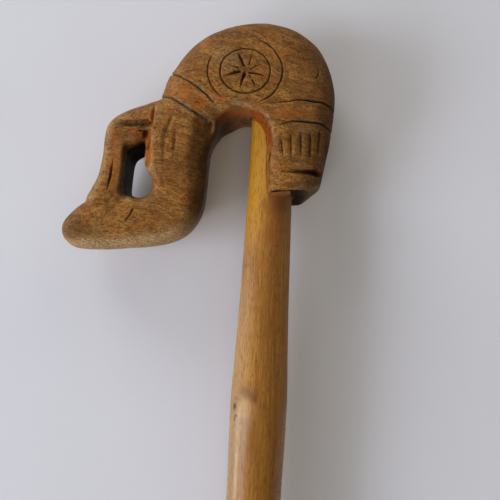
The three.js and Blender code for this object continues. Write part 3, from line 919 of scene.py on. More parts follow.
def soil_and_shade(points, normals, settings, stains_and_shade):
    """Old dirt where no hand rubs, and painted shade: in the through hole, which was burned out, on the
    lobe's sawn end, which faces down, and on the side of the neck that faces the gap, away from the light.
    The head's underside is worn pale and painted lighter where it faces down. The patches lie on the carved
    face; many dark ones are painted shade. Each place is a product of smooth steps over shares of the
    handle, pixels, depth along Y and the way the surface faces."""
    across = points[:, 0] / (settings.width / MM)
    up = (points[:, 2] - handle_foot(settings)) / (settings.height / MM)
    to_hole = np.stack([HOLE_MIDDLE[0] - across, np.zeros(len(points)), HOLE_MIDDLE[1] - up], 1)
    from_middle = np.hypot(to_hole[:, 0] / HOLE_HALF[0], to_hole[:, 2] / HOLE_HALF[1])
    # The through hole's inside: painted shade with dirt
    near_hole = 1 - smooth_step(from_middle, 0.95, 1.2)
    facing = smooth_step((to_hole * normals).sum(1) / np.linalg.norm(to_hole, axis=1), 0.4, 0.8)
    inside = near_hole * facing * smooth_step(points[:, 1], -11.5, -7)
    pixels = seen_at(points)
    top_edge = HOLE_TOP[1] + (pixels[:, 0] - HOLE_TOP[0]) * HOLE_TOP[2]
    over = smooth_step(top_edge - pixels[:, 1], -0.6, 0.8)
    beside = smooth_step(pixels[:, 0], 145.6, 146.6) * (1 - smooth_step(pixels[:, 1], 167, 170))
    inside *= 1 - np.maximum(over, beside) * (1 - smooth_step(points[:, 1], -8.2, -6.8))
    # Painted shade with dirt on the lobe's sawn end, which faces down, and on the neck's side that faces
    # the gap
    sawn = smooth_step(-normals[:, 2], 0.75, 0.95) * (across > -0.02) * (up < 0.35)
    sawn *= 0.97 - 0.5 * smooth_step(across, 0.1, 0.15)
    gap_side = smooth_step(normals[:, 0], 0.3, 0.75) * (across < -0.1)
    gap_side = gap_side * smooth_step(up, 0.05, 0.2) * (up < 0.6)
    for amount, where in ((HOLE_DIRT_AND_SHADE, inside), (SAWN_DIRT_AND_SHADE, sawn), (GAP_DIRT_AND_SHADE, gap_side)):
        stains_and_shade["soot"] = np.maximum(stains_and_shade["soot"], amount * where)
    # The head's underside, where it faces down: pale wear and painted light
    under = smooth_step(-normals[:, 2], 0.15, 0.75) * (up < 0.3) * (across < -0.2)
    stains_and_shade["wear"] = np.maximum(stains_and_shade["wear"], under)
    shows = smooth_step(-normals[:, 1], -0.3, 0.1) * smooth_step(-points[:, 1], 3, 6)
    for stain, middle, half, amount in PATCHES:
        distance = np.hypot(*((pixels - middle) / half).T)
        patch = amount * shows * (1 - smooth_step(distance, 0.5, 1.1))
        stains_and_shade[stain] = np.maximum(stains_and_shade[stain], patch)


def store(mesh, name, values):
    """Keeps one number for each point in the mesh, for the material to read."""
    layer = mesh.attributes.new(name, "FLOAT", "POINT")
    layer.data.foreach_set("value", values.astype(np.float32))


# Shaft, glue and ferrule

# The shaft, in millimetres: how far under the socket the node's top and foot are, the run over
# which it swells and narrows again, and the waist's depth under the socket
SHAFT_SIDES = 128
NODE_DOWN = (80, 98)
NODE_RUN = 16
WAIST_DOWN = 42
# Weak nodes further down: their places as shares of the run under the node, reach and swelling
WEAK_NODES = (0.36, 0.68)
WEAK_REACH = 18
WEAK_SWELL = 0.6
# How long the foot stays even, in the ferrule and above it, and the chamfers of foot and top
FOOT_RUN = (42, 44)
FOOT_CHAMFER = 1
TOP_CHAMFER = 1.6
# Steps along the shaft, coarse and fine, how far under the socket the fine ones reach, and how
# far to either side the radius is evened out
COARSE_STEP = 3
FINE_STEP = 0.75
FINE_DOWN = 140
EVENED = 5
# The knife's flats: radius, stretch and size of their noise, depth as a share of the radius, and
# the heights over which they begin above the foot and end at the socket
FLATS_RADIUS = 9
FLATS_STRETCH = 14
FLATS_SIZE = 4.5
FLATS_DEPTH = 0.012
FLATS_BEGIN = (52, 70)
FLATS_END = (812, 833)


def shaft_profile(settings):
    """Radius and height of the shaft from foot to top: the turning points of its CAD outline,
    joined straight, evened out along it by a running mean, and closed on the axis."""
    keys = ("top", "waist", "node", "body", "foot")
    radius = {key: getattr(settings, key) / MM / 2 for key in keys}
    low, high = (corner.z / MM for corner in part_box("shaft"))
    lobe = high - SHAFT_LAP
    node_top, node_foot = lobe - NODE_DOWN[0], lobe - NODE_DOWN[1]
    body_top = node_foot - NODE_RUN
    knots = [
        (high, radius["top"]), (lobe, radius["top"]), (lobe - WAIST_DOWN, radius["waist"]),
        (node_top + NODE_RUN, (radius["waist"] + radius["node"]) / 2), (node_top, radius["node"]),
        (node_foot, radius["node"]), (body_top, radius["body"]),
    ]
    for share in WEAK_NODES:
        middle = body_top + (low - body_top) * share
        for offset, swell in ((WEAK_REACH, 0), (0, WEAK_SWELL), (-WEAK_REACH, 0)):
            taper = np.interp(middle + offset, [low, body_top], [radius["foot"], radius["body"]])
            knots.append((middle + offset, taper + swell))
    knots += [(low + FOOT_RUN[0], radius["foot"]), (low, radius["foot"])]
    heights, radii = np.array(knots[::-1]).T
    coarse = np.arange(low, lobe - FINE_DOWN, COARSE_STEP)
    fine = np.arange(lobe - FINE_DOWN, high - TOP_CHAMFER, FINE_STEP)
    height = np.concatenate([coarse, fine, [high - TOP_CHAMFER]])
    beside = np.linspace(-EVENED, EVENED, 2 * EVENED + 1)
    spread = np.interp(height[:, None] + beside, heights, radii).mean(1)
    inside = height > lobe + 2
    spread[inside] = np.interp(height[inside], heights, radii)
    spread[height < low + FOOT_RUN[1]] = radius["foot"]
    top = [[radius["top"] - TOP_CHAMFER, high], [0, high]]
    bottom = [[0, low], [radius["foot"] - FOOT_CHAMFER, low], [radius["foot"], low + FOOT_CHAMFER]]
    rows = np.stack([spread, height], 1)
    return np.concatenate([bottom, rows[rows[:, 1] > low + FOOT_CHAMFER], top])


def shaft_mesh(settings):
    """The profile turned, its radius times 1 plus a slow wave that runs along the shaft, which
    gives the knife's long shallow flats. The wave is left out in the socket and at the foot."""
    profile = shaft_profile(settings)
    angle = np.arange(SHAFT_SIDES) * (2 * np.pi / SHAFT_SIDES)
    height = profile[:, 1:]
    right, front = FLATS_RADIUS * np.sin(angle), FLATS_RADIUS * np.cos(angle)
    skin = np.stack(np.broadcast_arrays(right, front, height / FLATS_STRETCH), -1)
    wave = lattice_noise(skin.reshape(-1, 3), FLATS_SIZE, SEED + 3).reshape(skin.shape[:2])
    even = smooth_step(height, *FLATS_END) + (1 - smooth_step(height, *FLATS_BEGIN))
    return turned_mesh("shaft_skin", profile, SHAFT_SIDES, 1 + FLATS_DEPTH * wave * (1 - even))


# The glue in pixels, from the crescent under the arch down the lobe's side and along its foot:
# its edge on the handle and its edge on the shaft
GLUE_OUTER = (
    (248.6, 111.6), (252.4, 110.4), (257, 110.2), (260.6, 112.8), (263.6, 116.4), (268.6, 123.2),
    (271, 130), (272, 137), (272, 145), (270.9, 150.6), (269.3, 155), (268.6, 160),
    (268.5, 170), (268.7, 182), (269.4, 191.6), (272.6, 192.3), (278, 192), (284, 191.5), (290, 191.2),
)
GLUE_INNER = (
    (249.4, 115.4), (252.4, 118.4), (256, 120.6), (259.4, 123.8), (262.4, 128.4), (265, 135),
    (266, 142), (266.4, 149), (266.5, 153.4), (266.2, 157), (266.1, 163), (266.2, 172),
    (266.3, 180), (266.6, 187), (267.4, 192.8), (270.6, 195.4), (277, 196.2), (284, 195.8), (290.4, 194.4),
)
# Grid of the glue, how far it is laid on what it touches, and the gap to its hidden back
GLUE_STEPS = (140, 12)
GLUE_LAP = 0.3
GLUE_BACK = 1.2
# How often each run of depths is evened out, on the handle and on the shaft
GLUE_EVENING = (16, 4)
# How far the glue sags between its edges, how far its lumps change that, both in millimetres,
# the lumps' size in pixels, and which way it sags
GLUE_SAG = 0.9
GLUE_LUMPS = 0.35
LUMP_SIZE = 3
SAG_WAY = (0.25, 1, -0.1)


def glue_mesh(tree_of_handle, tree_of_shaft):
    """Glue in the corner between shaft and handle: the point at share t across and u along is
    (1-t) inner(u) + t outer(u), sunk by 4t(1-t) times a sag, where the inner edge lies on the
    shaft and the outer one on the handle. A second sheet behind it closes it."""
    along, across = GLUE_STEPS
    outer = smooth_run(GLUE_OUTER, along)
    inner = smooth_run(GLUE_INNER, along)
    on_handle = laid_on(tree_of_handle, outer, GLUE_EVENING[0])
    on_shaft = laid_on(tree_of_shaft, inner, GLUE_EVENING[1])
    t = np.linspace(0, 1, across)[:, None]
    lumps = lattice_noise(np.column_stack([outer, np.zeros(along)]), LUMP_SIZE, SEED + 4)
    sag = (GLUE_SAG + GLUE_LUMPS * lumps)[:, None, None] * SAG_WAY
    front = on_shaft[:, None] * (1 - t) + on_handle[:, None] * t + 4 * t * (1 - t) * sag
    front[..., 1] -= GLUE_LAP
    rings = np.concatenate([front, front[:, ::-1] + [0, GLUE_BACK, 0]], 1)
    mesh = tube_mesh("glue_skin", rings)
    close_up(mesh, 0)
    return mesh


# The ferrule's profile in runs of radius and height, in millimetres: the middle of its sole, a
# groove from its inner edge and the radii where the grooves start, the rim from the sole's
# radius, the shoulder from the sleeve's, a ring from the sleeve and its own top, and the rings'
# tops, all above the sole, and the mouth's outside from the sleeve and inside from the bore
SOLE_MIDDLE = ((0, 0), (3, 0), (3.6, 1), (4.4, 1), (5, 0))
GROOVE = ((0, 0), (0.5, 1.2), (1.3, 1.2), (1.8, 0))
GROOVE_STARTS = (8, 11.5)
RIM = ((-1.5, 0), (0, 1.5), (0, 6.5))
SHOULDER = ((1, 11.5), (0, 14))
RING = ((0, -2.4), (0.9, -2.2), (0.9, -0.2), (0, 0))
RING_TOPS = (19, 25, 31)
MOUTH_OUTSIDE = ((0, -2), (0.5, -1.4), (0.3, 0))
MOUTH_INSIDE = ((0.5, 0), (0, -0.8))
# The rubber's gap to the washer, the sleeve's wall, and how round the corners are
WASHER_GAP = 0.3
SLEEVE_WALL = 2.8
FERRULE_ROUNDING = 0.7
FERRULE_SIDES = 96


def moved(run, radius, height):
    """A run of a profile moved out by a radius and up by a height."""
    return [(radius + out, height + up) for out, up in run]


def ferrule_mesh(settings):
    """The ferrule's profile turned: grooved sole, skirt, three rings, rolled mouth and bore."""
    low, high = (corner.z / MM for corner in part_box("rubber_ferrule"))
    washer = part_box("ferrule_washer")
    bore = washer[1].x / MM + WASHER_GAP
    seat = washer[0].z / MM - WASHER_GAP
    sole, sleeve = settings.sole / MM / 2, bore + SLEEVE_WALL
    corners = moved(SOLE_MIDDLE, 0, low)
    for start in GROOVE_STARTS:
        corners += moved(GROOVE, start, low)
    corners += moved(RIM, sole, low) + moved(SHOULDER, sleeve, low)
    for top in RING_TOPS:
        corners += moved(RING, sleeve, low + top)
    corners += moved(MOUTH_OUTSIDE, sleeve, high) + moved(MOUTH_INSIDE, bore, high)
    corners += [(bore, seat), (0, seat)]
    return turned_mesh("ferrule_skin", rounded(corners, FERRULE_ROUNDING, 5), FERRULE_SIDES)


# Materials

# What the nodes do here: kind of node, inputs in the order in which they are fed, output that
# is read, and the node's own settings
USES = {
    "object place": ("TexCoord", (), "Object", {}),
    "normal": ("TexCoord", (), "Normal", {}),
    "direction": ("TexCoord", (), "Generated", {}),
    "kept number": ("Attribute", (), "Fac", {}),
    "seen by camera": ("LightPath", (), "Is Camera Ray", {}),
    "shadow ray": ("LightPath", (), "Is Shadow Ray", {}),
    "behind": ("NewGeometry", (), "Backfacing", {}),
    "across": ("SeparateXYZ", (0,), "X", {}),
    "up": ("SeparateXYZ", (0,), "Z", {}),
    "fitted": ("Mapping", ("Vector", "Location", "Rotation", "Scale"), 0, {"vector_type": "TEXTURE"}),
    "noise": ("TexNoise", ("Vector", "Scale", "Detail", "Roughness"), "Fac", {}),
    "drift": ("TexNoise", ("Vector", "Scale", "Detail"), "Color", {}),
    "band": ("MapRange", (0, 1, 2, 3, 4), 0, {"interpolation_type": "SMOOTHSTEP"}),
    "times": ("Math", (0, 1), 0, {"operation": "MULTIPLY"}),
    "times plus": ("Math", (0, 1, 2), 0, {"operation": "MULTIPLY_ADD"}),
    "greater": ("Math", (0, 1), 0, {"operation": "MAXIMUM"}),
    "stretch": ("VectorMath", (0, 1), 0, {"operation": "MULTIPLY"}),
    "stretch plus": ("VectorMath", (0, 1, 2), 0, {"operation": "MULTIPLY_ADD"}),
    "less": ("VectorMath", (0, 1), 0, {"operation": "SUBTRACT"}),
    "length": ("VectorMath", (0,), "Value", {"operation": "LENGTH"}),
    "mixed": ("Mix", (0, 6, 7), 2, {"data_type": "RGBA"}),
    "bump": ("Bump", ("Height", "Strength", "Distance"), 0, {}),
    "clear": ("BsdfTransparent", (), 0, {}),
    "mixed shader": ("MixShader", (0, 1, 2), 0, {}),
}


def new_material(name):
    """A material with one Principled shader, and its node tree."""
    material = bpy.data.materials.new(name)
    material.use_nodes = True
    tree = material.node_tree
    shader = next(node for node in tree.nodes if node.type == "BSDF_PRINCIPLED")
    return material, tree, shader


def feed(tree, socket, value):
    """Feeds a socket from another node's output, or sets it to a number, to linear numbers or to
    an sRGB hex colour."""
    if isinstance(value, bpy.types.NodeSocket):
        tree.links.new(value, socket)
        return
    if isinstance(value, str):
        value = linear(value)
    if socket.type == "RGBA":
        value = (*value, 1)
    socket.default_value = value


def add(tree, use, *values, **settings):
    """Adds a node that does what USES lists under that name, feeds it the values in order, and
    gives the output that is read."""
    kind, sockets, output, own_settings = USES[use]
    made = tree.nodes.new("ShaderNode" + kind)
    for key, value in {**own_settings, **settings}.items():
        setattr(made, key, value)
    for socket, value in zip(sockets, values):
        feed(tree, made.inputs[socket], value)
    return made.outputs[output]


def places(tree):
    """Object coordinates in millimetres."""
    return add(tree, "stretch", add(tree, "object place"), (1 / MM,) * 3)


def mottling(tree, place, size, detail=2.0, turn=(0, 0, 0), roughness=0.5):
    """Soft spots that have that size in millimetres along the three axes."""
    fitted = add(tree, "fitted", place, (0, 0, 0), turn, size)
    return add(tree, "noise", fitted, 1.0, detail, roughness)


def tinted(tree, colour, *layers):
    """A colour under layers, each a value, where it starts and is full, its strength and tint."""
    for value, low, high, strength, tint in layers:
        colour = add(tree, "mixed", add(tree, "band", value, low, high, 0, strength), colour, tint)
    return colour


def make_surface(tree, shader, colour, roughness, relief=None, specular=None):
    """Gives a shader its colour, its roughness, its relief, which is a height, a strength and a
    depth in millimetres, and its specular level."""
    feed(tree, shader.inputs["Base Color"], colour)
    feed(tree, shader.inputs["Roughness"], roughness)
    if relief:
        height, strength, depth = relief
        feed(tree, shader.inputs["Normal"], add(tree, "bump", height, strength, depth * MM))
    if specular is not None:
        shader.inputs["Specular IOR Level"].default_value = specular


def carved_hardwood(settings):
    """Old brown hardwood, knife-carved and oiled: short dark pores along the grain, broad light and dark
    figure, dirt and painted shade in every cut and hollow, painted shade on the side away from the light,
    paler worn edges, an underside that is worn and painted lighter, and a low uneven sheen."""
    material, tree, shader = new_material("oiled_hardwood_knife_carved")
    place = places(tree)
    turn = (0, math.radians(9), 0)
    bent = add(tree, "stretch plus", add(tree, "drift", place, 1 / 34, 1.5), (16, 4, 18), place)
    figure = mottling(tree, bent, (12, 3, 1.9), 2, turn)
    blotch = mottling(tree, place, (11, 11, 11), 2.5)
    streak = mottling(tree, bent, (4, 0.9, 0.55), 3, turn, 0.6)
    mottle = mottling(tree, place, (1.5, 1.5, 1.1), 3, roughness=0.65)
    pore = mottling(tree, bent, (1.3, 0.34, 0.28), 1.5, turn)
    speckle = mottling(tree, place, (0.36, 0.36, 0.36), 1.5)
    hue = mottling(tree, place, (7, 7, 5), 2)
    scuff = mottling(tree, place, (0.6, 0.6, 0.6), 4, roughness=0.7)
    broad = add(tree, "band", figure, 0.34, 0.66)
    colour = add(tree, "mixed", broad, settings.dark_wood, settings.light_wood)
    colour = tinted(
        tree, colour,
        (streak, 0.48, 0.66, 0.45, "#ad7e40"),
        (streak, 0.5, 0.34, 0.45, "#5b3a1a"),
        (mottle, 0.5, 0.64, 0.5, "#553213"),
        (mottle, 0.46, 0.34, 0.42, "#ae7d3e"),
        (hue, 0.48, 0.7, 0.36, "#9e531d"),
        (blotch, 0.45, 0.66, 0.42, "#54381b"),
        (pore, 0.54, 0.66, 0.85, settings.fleck),
        (speckle, 0.46, 0.68, 0.5, "#422b14"),
    )
    # Darker and blotchy towards the right side: grime and painted shade
    lobe_side = add(tree, "band", add(tree, "across", place), 2, 20)
    grime_and_shade_right = add(tree, "times", lobe_side, add(tree, "band", blotch, 0.2, 0.6, 0.6, 1))
    colour = add(tree, "mixed", add(tree, "times", grime_and_shade_right, 0.45), colour, "#3f2a1a")
    # Faces turned to +X, away from the lamps, get painted shade
    facing = add(tree, "across", add(tree, "normal"))
    stains_and_shade = {name: add(tree, "kept number", attribute_name=name) for name in STAINS_AND_SHADE}
    hollow, soot = stains_and_shade["hollow"], stains_and_shade["soot"]
    # Painted shade: on faces turned to +X, away from the lamps, and in hollows
    colour = tinted(
        tree, colour,
        (facing, 0.45, 0.95, 0.45, "#3c2916"),
        (hollow, 0.02, 0.45, 0.6, "#2a1b0f"),
    )
    edge = add(tree, "times", add(tree, "band", hollow, -0.1, -0.4), add(tree, "band", scuff, 0.4, 0.6))
    bare = add(tree, "times", stains_and_shade["wear"], add(tree, "band", scuff, 0.36, 0.6, 0.25, 1))
    bare = add(tree, "times", bare, add(tree, "band", pore, 0.6, 0.46, 0.35, 1))
    wear = add(tree, "greater", add(tree, "times", edge, 0.45), bare)
    colour = add(tree, "mixed", wear, colour, "#b89c70")
    amber = add(tree, "times", stains_and_shade["amber"], add(tree, "band", scuff, 0.3, 0.6, 1, 0.5))
    colour = add(tree, "mixed", amber, colour, settings.amber)
    dust = add(tree, "times", stains_and_shade["dust"], add(tree, "band", scuff, 0.4, 0.6, 0.15, 1))
    colour = add(tree, "mixed", dust, colour, settings.dust)
    colour = add(tree, "mixed", soot, colour, settings.soot)
    rough = add(tree, "times plus", soot, 0.4, add(tree, "band", blotch, 0.3, 0.7, 0.56, 0.7))
    height = add(tree, "times plus", add(tree, "band", pore, 0.5, 0.68), -0.7, scuff)
    make_surface(tree, shader, colour, rough, (height, 0.45, 0.12), 0.12)
    return material


# Marks on the shaft: pixel, half size across and along in millimetres, colour and strength. Three dark ones
# just under the lobe are its painted shadow with stain.
SHAFT_MARKS = (
    ((236, 452), (7, 24), "#7d6a50", 0.28),
    ((246, 409), (4.5, 7), "#c0a070", 0.34),
    ((246, 393), (4.5, 2.8), "#6a4626", 0.58),
    ((237, 398.5), (2.6, 1.1), "#6f4d2f", 0.6),
    ((253.4, 398.6), (1.9, 3), "#6c390f", 0.68),
    ((255.4, 399.5), (0.6, 1.5), "#54300f", 0.5),
    ((252.5, 411.5), (0.9, 3.4), "#7c4412", 0.45),
    ((234.6, 406), (2.0, 2.4), "#6b4a2c", 0.4),
    ((234.6, 406), (1.3, 1.6), "#1c110b", 1.0),
    ((236, 415.4), (1.0, 0.5), "#4f3220", 0.8),
    ((234.6, 418.4), (0.6, 1.1), "#4f3220", 0.75),
    ((237.6, 419.6), (0.5, 1.0), "#6a4a30", 0.55),
    ((241.5, 421.5), (1.1, 1.6), "#85603c", 0.5),
    ((246.6, 422), (0.6, 2), "#7a5230", 0.5),
    ((243, 424), (3.8, 3), "#86633f", 0.45),
    ((241.4, 427.5), (0.6, 1.4), "#b89a70", 0.35),
    ((256, 308), (1.5, 1.1), "#6e4a24", 0.5),
    ((262.5, 318), (0.5, 0.9), "#6b4217", 0.4),
    ((276, 246), (1.4, 0.5), "#4f3015", 0.6),
    # This one, the next and the last: the lobe's painted shadow on the shaft, with stain
    ((274, 222), (6, 13), "#7c420c", 0.42),
    ((268, 234), (3.4, 4.5), "#7c420c", 0.35),
    ((262, 214), (0.5, 1.6), "#6b4217", 0.5),
    ((275, 203), (6, 5), "#6e390c", 0.5),
)


def peeled_wood(settings, tree_of_shaft):
    """A peeled hazel-like stick under old clear varnish: straight fine streaks along it, gold
    and honey tones, dark knots at the node, and a gloss that is left only under the node. Painted into
    its colour are light at its top left, a sheen down its left side, shade on its right side and the
    lobe's shadow just under it."""
    material, tree, shader = new_material("peeled_stick_clear_varnish")
    place = places(tree)
    tone = mottling(tree, place, (5, 5, 60), 2)
    streak = mottling(tree, place, (0.9, 0.9, 22), 3, roughness=0.6)
    line = mottling(tree, place, (0.42, 0.42, 3), 2, roughness=0.6)
    mottle = mottling(tree, place, (3, 3, 5), 3)
    across = add(tree, "across", place)
    height = add(tree, "up", place)
    broad = add(tree, "band", tone, 0.34, 0.66, 0.1, 0.9)
    colour = add(tree, "mixed", broad, settings.gold, settings.honey)
    colour = tinted(
        tree, colour,
        (streak, 0.5, 0.66, 0.45, "#70420c"),
        (streak, 0.48, 0.34, 0.32, "#c08c34"),
        (mottle, 0.5, 0.68, 0.25, "#7a4a16"),
    )
    # Painted light on the top's left side, where light reaches between neck and arch
    lit = add(tree, "times", add(tree, "band", height, 800, 826), add(tree, "band", across, 5, -3))
    colour = add(tree, "mixed", add(tree, "times", lit, 0.55), colour, "#c08a20")
    # A painted sheen down the left side
    pale = add(tree, "times", add(tree, "band", height, 830, 785), add(tree, "band", across, -1.5, -11))
    colour = add(tree, "mixed", add(tree, "times", pale, 0.42), colour, "#ac8e5e")
    # Painted shade from left of the middle to the right side, then grain
    colour = tinted(
        tree, colour,
        (across, -7, 1, 0.26, "#743f0a"),
        (line, 0.52, 0.64, 0.6, "#5e360d"),
    )
    for pixel, half, tint, strength in SHAFT_MARKS:
        centre = on_surface(tree_of_shaft, np.array([pixel], float))[0]
        size = (half[0], half[0], half[1])
        distance = add(tree, "length", add(tree, "fitted", place, tuple(centre), (0, 0, 0), size))
        ragged = add(tree, "times plus", mottle, 1.2, distance)
        colour = tinted(tree, colour, (ragged, 1.9, 0.9, strength, tint))
    glossy = add(tree, "band", height, 756, 738)
    worn = add(tree, "band", mottle, 0.35, 0.7, 0.56, 0.66)
    rough = add(tree, "times plus", glossy, -0.31, worn)
    relief = add(tree, "times plus", line, 0.6, streak)
    make_surface(tree, shader, colour, rough, (relief, 0.35, 0.08), 0.45)
    return material


def dried_glue():
    """Hardened hide glue under old varnish: orange brown, dulled by dust, darker in its dents.
    The thin bead along the lobe is worn paler."""
    material, tree, shader = new_material("hide_glue_hardened")
    place = places(tree)
    cloud = mottling(tree, place, (1.2, 1.2, 1.8), 3)
    dent = mottling(tree, place, (0.5, 0.5, 0.5), 2)
    colour = add(tree, "mixed", add(tree, "band", cloud, 0.36, 0.64), "#90470c", "#65300e")
    colour = tinted(tree, colour, (dent, 0.55, 0.75, 0.5, "#4a260e"))
    height = add(tree, "up", place)
    colour = add(tree, "mixed", add(tree, "band", height, 846, 852, 0.75, 0), colour, "#7d5327")
    rough = add(tree, "band", cloud, 0.3, 0.7, 0.46, 0.64)
    make_surface(tree, shader, colour, rough, (dent, 0.5, 0.12), 0.3)
    return material


def moulded_rubber(settings):
    """Moulded carbon-black rubber: matt with a fine mould grain, grey street dust low down and
    in its grooves."""
    material, tree, shader = new_material("carbon_black_rubber_moulded")
    place = places(tree)
    grain = mottling(tree, place, (0.35, 0.35, 0.35), 2)
    cloud = mottling(tree, place, (5, 5, 3), 3)
    height = add(tree, "up", place)
    low = add(tree, "times", add(tree, "band", height, 16, 0), add(tree, "band", cloud, 0.35, 0.7))
    colour = add(tree, "mixed", add(tree, "band", cloud, 0.35, 0.7, 0, 0.5), settings.rubber, "#2b2b2c")
    colour = add(tree, "mixed", add(tree, "times", low, 0.55), colour, settings.grime)
    make_surface(tree, shader, colour, add(tree, "band", cloud, 0.3, 0.7, 0.66, 0.88), (grain, 0.5, 0.12))
    return material


def turned_dowel():
    """A turned beech dowel: pale, with short darker flecks along it and a dry surface."""
    material, tree, shader = new_material("beech_dowel_turned")
    place = places(tree)
    fleck = mottling(tree, place, (0.5, 0.5, 3), 2)
    colour = add(tree, "mixed", add(tree, "band", fleck, 0.45, 0.65), "#d0ad7c", "#a87f50")
    make_surface(tree, shader, colour, add(tree, "band", fleck, 0.3, 0.7, 0.6, 0.8), (fleck, 0.4, 0.05))
    return material


def plated_washer():
    """A zinc-plated steel washer: bright grey, softly brushed, with duller worn spots."""
    material, tree, shader = new_material("zinc_plated_steel_stamped")
    place = places(tree)
    cloud = mottling(tree, place, (2.5, 2.5, 2.5), 3)
    colour = add(tree, "mixed", add(tree, "band", cloud, 0.4, 0.65), "#b9bcbf", "#8f918f")
    make_surface(tree, shader, colour, add(tree, "band", cloud, 0.3, 0.7, 0.28, 0.5))
    shader.inputs["Metallic"].default_value = 1
    return material


def dress(node, material):
    """Gives a CAD node that stays a procedural material."""
    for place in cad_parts[node].material_slots:
        place.material = material


# Stage

# The board and the floor, in millimetres: half their width, the board's foot and top, from which
# distance to which they fade, and how much sooner the board does so across
BOARD_HALF = 800
BOARD_HEIGHTS = (-300, 1300)
BOARD_FADE = (520, 760)
BOARD_SQUEEZE = 1.8
FLOOR_HALF = 1400
FLOOR_FADE = (380, 800)

# Lamps: name, place, height of the target on the shaft's axis, width and height, all in
# millimetres, power in watts, colour, and the rays that the lamp is hidden from
LAMPS = (
    ("window", (-2120, -980, 300), 780, (1100, 1100), 27.3, "#e1effd", "visible_glossy"),
    ("side_window", (-1500, -60, 560), 700, (260, 1100), 8, "#f8f9ff", "visible_diffuse"),
    ("window_front", (-1900, -1300, 300), 780, (900, 900), 12, "#e9ebff", None),
    ("ceiling_left", (-700, -450, 1900), 780, (700, 700), 9.4, "#fbfaff", None),
    ("ceiling_right", (600, -500, 1800), 780, (700, 700), 2.7, "#fff6dc", None),
    ("front_fill", (60, -1300, 700), 780, (700, 700), 1.8, "#ffe8ae", None),
    ("low_left", (-1000, -520, 60), 780, (400, 300), 5.6, "#f6f1ff", "visible_glossy"),
    ("low_front", (-500, -1100, 60), 780, (400, 300), 1.75, "#f6f1ff", "visible_glossy"),
    ("back_fill", (0, 1100, 1000), 500, (900, 900), 6, "#fff8f0", None),
)


def fading_board(name, settings, centre, fade, squeeze=1, one_sided=False):
    """A pale matt board that fades out towards its rim, sooner across where it is squeezed. One
    that is one-sided isn't seen from behind and casts no shadow."""
    material, tree, shader = new_material(name)
    place = places(tree)
    cloud = mottling(tree, place, (60, 60, 60), 3)
    colour = add(tree, "mixed", add(tree, "band", cloud, 0.3, 0.7, 0, 0.25), settings.board, "#c5c4c7")
    make_surface(tree, shader, colour, add(tree, "band", cloud, 0.3, 0.7, 0.85, 0.95))
    offset = add(tree, "stretch", add(tree, "less", place, centre), (squeeze, 1, 1))
    distance = add(tree, "length", offset)
    unseen = add(tree, "band", distance, *fade)
    if one_sided:
        for other in ("behind", "shadow ray"):
            unseen = add(tree, "greater", unseen, add(tree, other))
    blend = add(tree, "mixed shader", unseen, shader.outputs[0], add(tree, "clear"))
    output = next(node for node in tree.nodes if node.type == "OUTPUT_MATERIAL")
    tree.links.new(blend, output.inputs["Surface"])
    return material


def sheet_object(name, corners, material):
    """A flat stage piece through four corners, in millimetres."""
    mesh = bpy.data.meshes.new(name)
    mesh.from_pydata((np.array(corners, float) * MM).tolist(), [], [(0, 1, 2, 3)])
    mesh.materials.append(material)
    made = new_object(name, mesh)


def area_lamp(name, place, aim, size, power, colour, hidden):
    """A soft rectangular lamp at a place, turned to a height on the shaft's axis, and hidden from
    some rays where that is named."""
    lamp = bpy.data.lights.new(name, "AREA")
    lamp.shape = "RECTANGLE"
    lamp.size, lamp.size_y = size[0] * MM, size[1] * MM
    lamp.energy = power
    lamp.color = linear(colour)
    made = new_object(name, lamp)
    made.location = Vector(place) * MM
    made.rotation_euler = (Vector((0, 0, aim)) - Vector(place)).to_track_quat("-Z", "Y").to_euler()
    if hidden:
        setattr(made, hidden, False)


def make_world(left, right, background):
    """Soft light from all round, weaker from the right, and a pale background where the camera
    sees past the board."""
    world = bpy.data.worlds.new("soft_room")
    world.use_nodes = True
    tree = world.node_tree
    shader = next(node for node in tree.nodes if node.type == "BACKGROUND")
    side = add(tree, "across", add(tree, "direction"))
    around = add(tree, "mixed", add(tree, "band", side, -0.6, 0.8), left, right)
    feed(tree, shader.inputs["Color"], add(tree, "mixed", add(tree, "seen by camera"), around, background))
    bpy.context.scene.world = world


def make_camera():
    """The photograph's camera: its lens from the focal length in pixels, looking along +Y."""
    camera = bpy.data.cameras.new("camera")
    camera.sensor_width = SENSOR
    camera.lens = FOCAL / PICTURE * SENSOR
    camera.clip_start = 0.01
    made = new_object("camera", camera)
    made.location = Vector(EYE) * MM
    made.rotation_euler = (math.pi / 2, -ROLL, 0)
    bpy.context.scene.camera = made


# Operators, one for each piece or pair of like pieces


class STICK_OT_handle(bpy.types.Operator):
    """Make the carved crook handle"""

    bl_idname = "stick.handle"
    bl_label = "Carved handle"

    def execute(self, context):
        settings = context.scene.stick.handle
        mesh, wood = handle_mesh(settings), carved_hardwood(settings)
        finished("crook_handle", mesh, wood, "stick", "carved_hardwood", "carved_handle")
        return {"FINISHED"}


class STICK_OT_shaft(bpy.types.Operator):
    """Make the peeled shaft"""

    bl_idname = "stick.shaft"
    bl_label = "Peeled shaft"

    def execute(self, context):
        settings = context.scene.stick.shaft
        mesh = shaft_mesh(settings)
        wood = peeled_wood(settings, surface_tree(mesh))
        finished("peeled_shaft", mesh, wood, "stick", "peeled_wood", "shaft")
        return {"FINISHED"}


class STICK_OT_glue(bpy.types.Operator):
    """Make the bead of glue at the socket's mouth"""

    bl_idname = "stick.glue"
    bl_label = "Glue bead"

    def execute(self, context):
        meshes = [bpy.data.objects[name].data for name in ("crook_handle", "peeled_shaft")]
        mesh = glue_mesh(*[surface_tree(each) for each in meshes])
        finished("glue_bead", mesh, dried_glue(), "stick", "dried_glue", "glue_fillet")
        return {"FINISHED"}


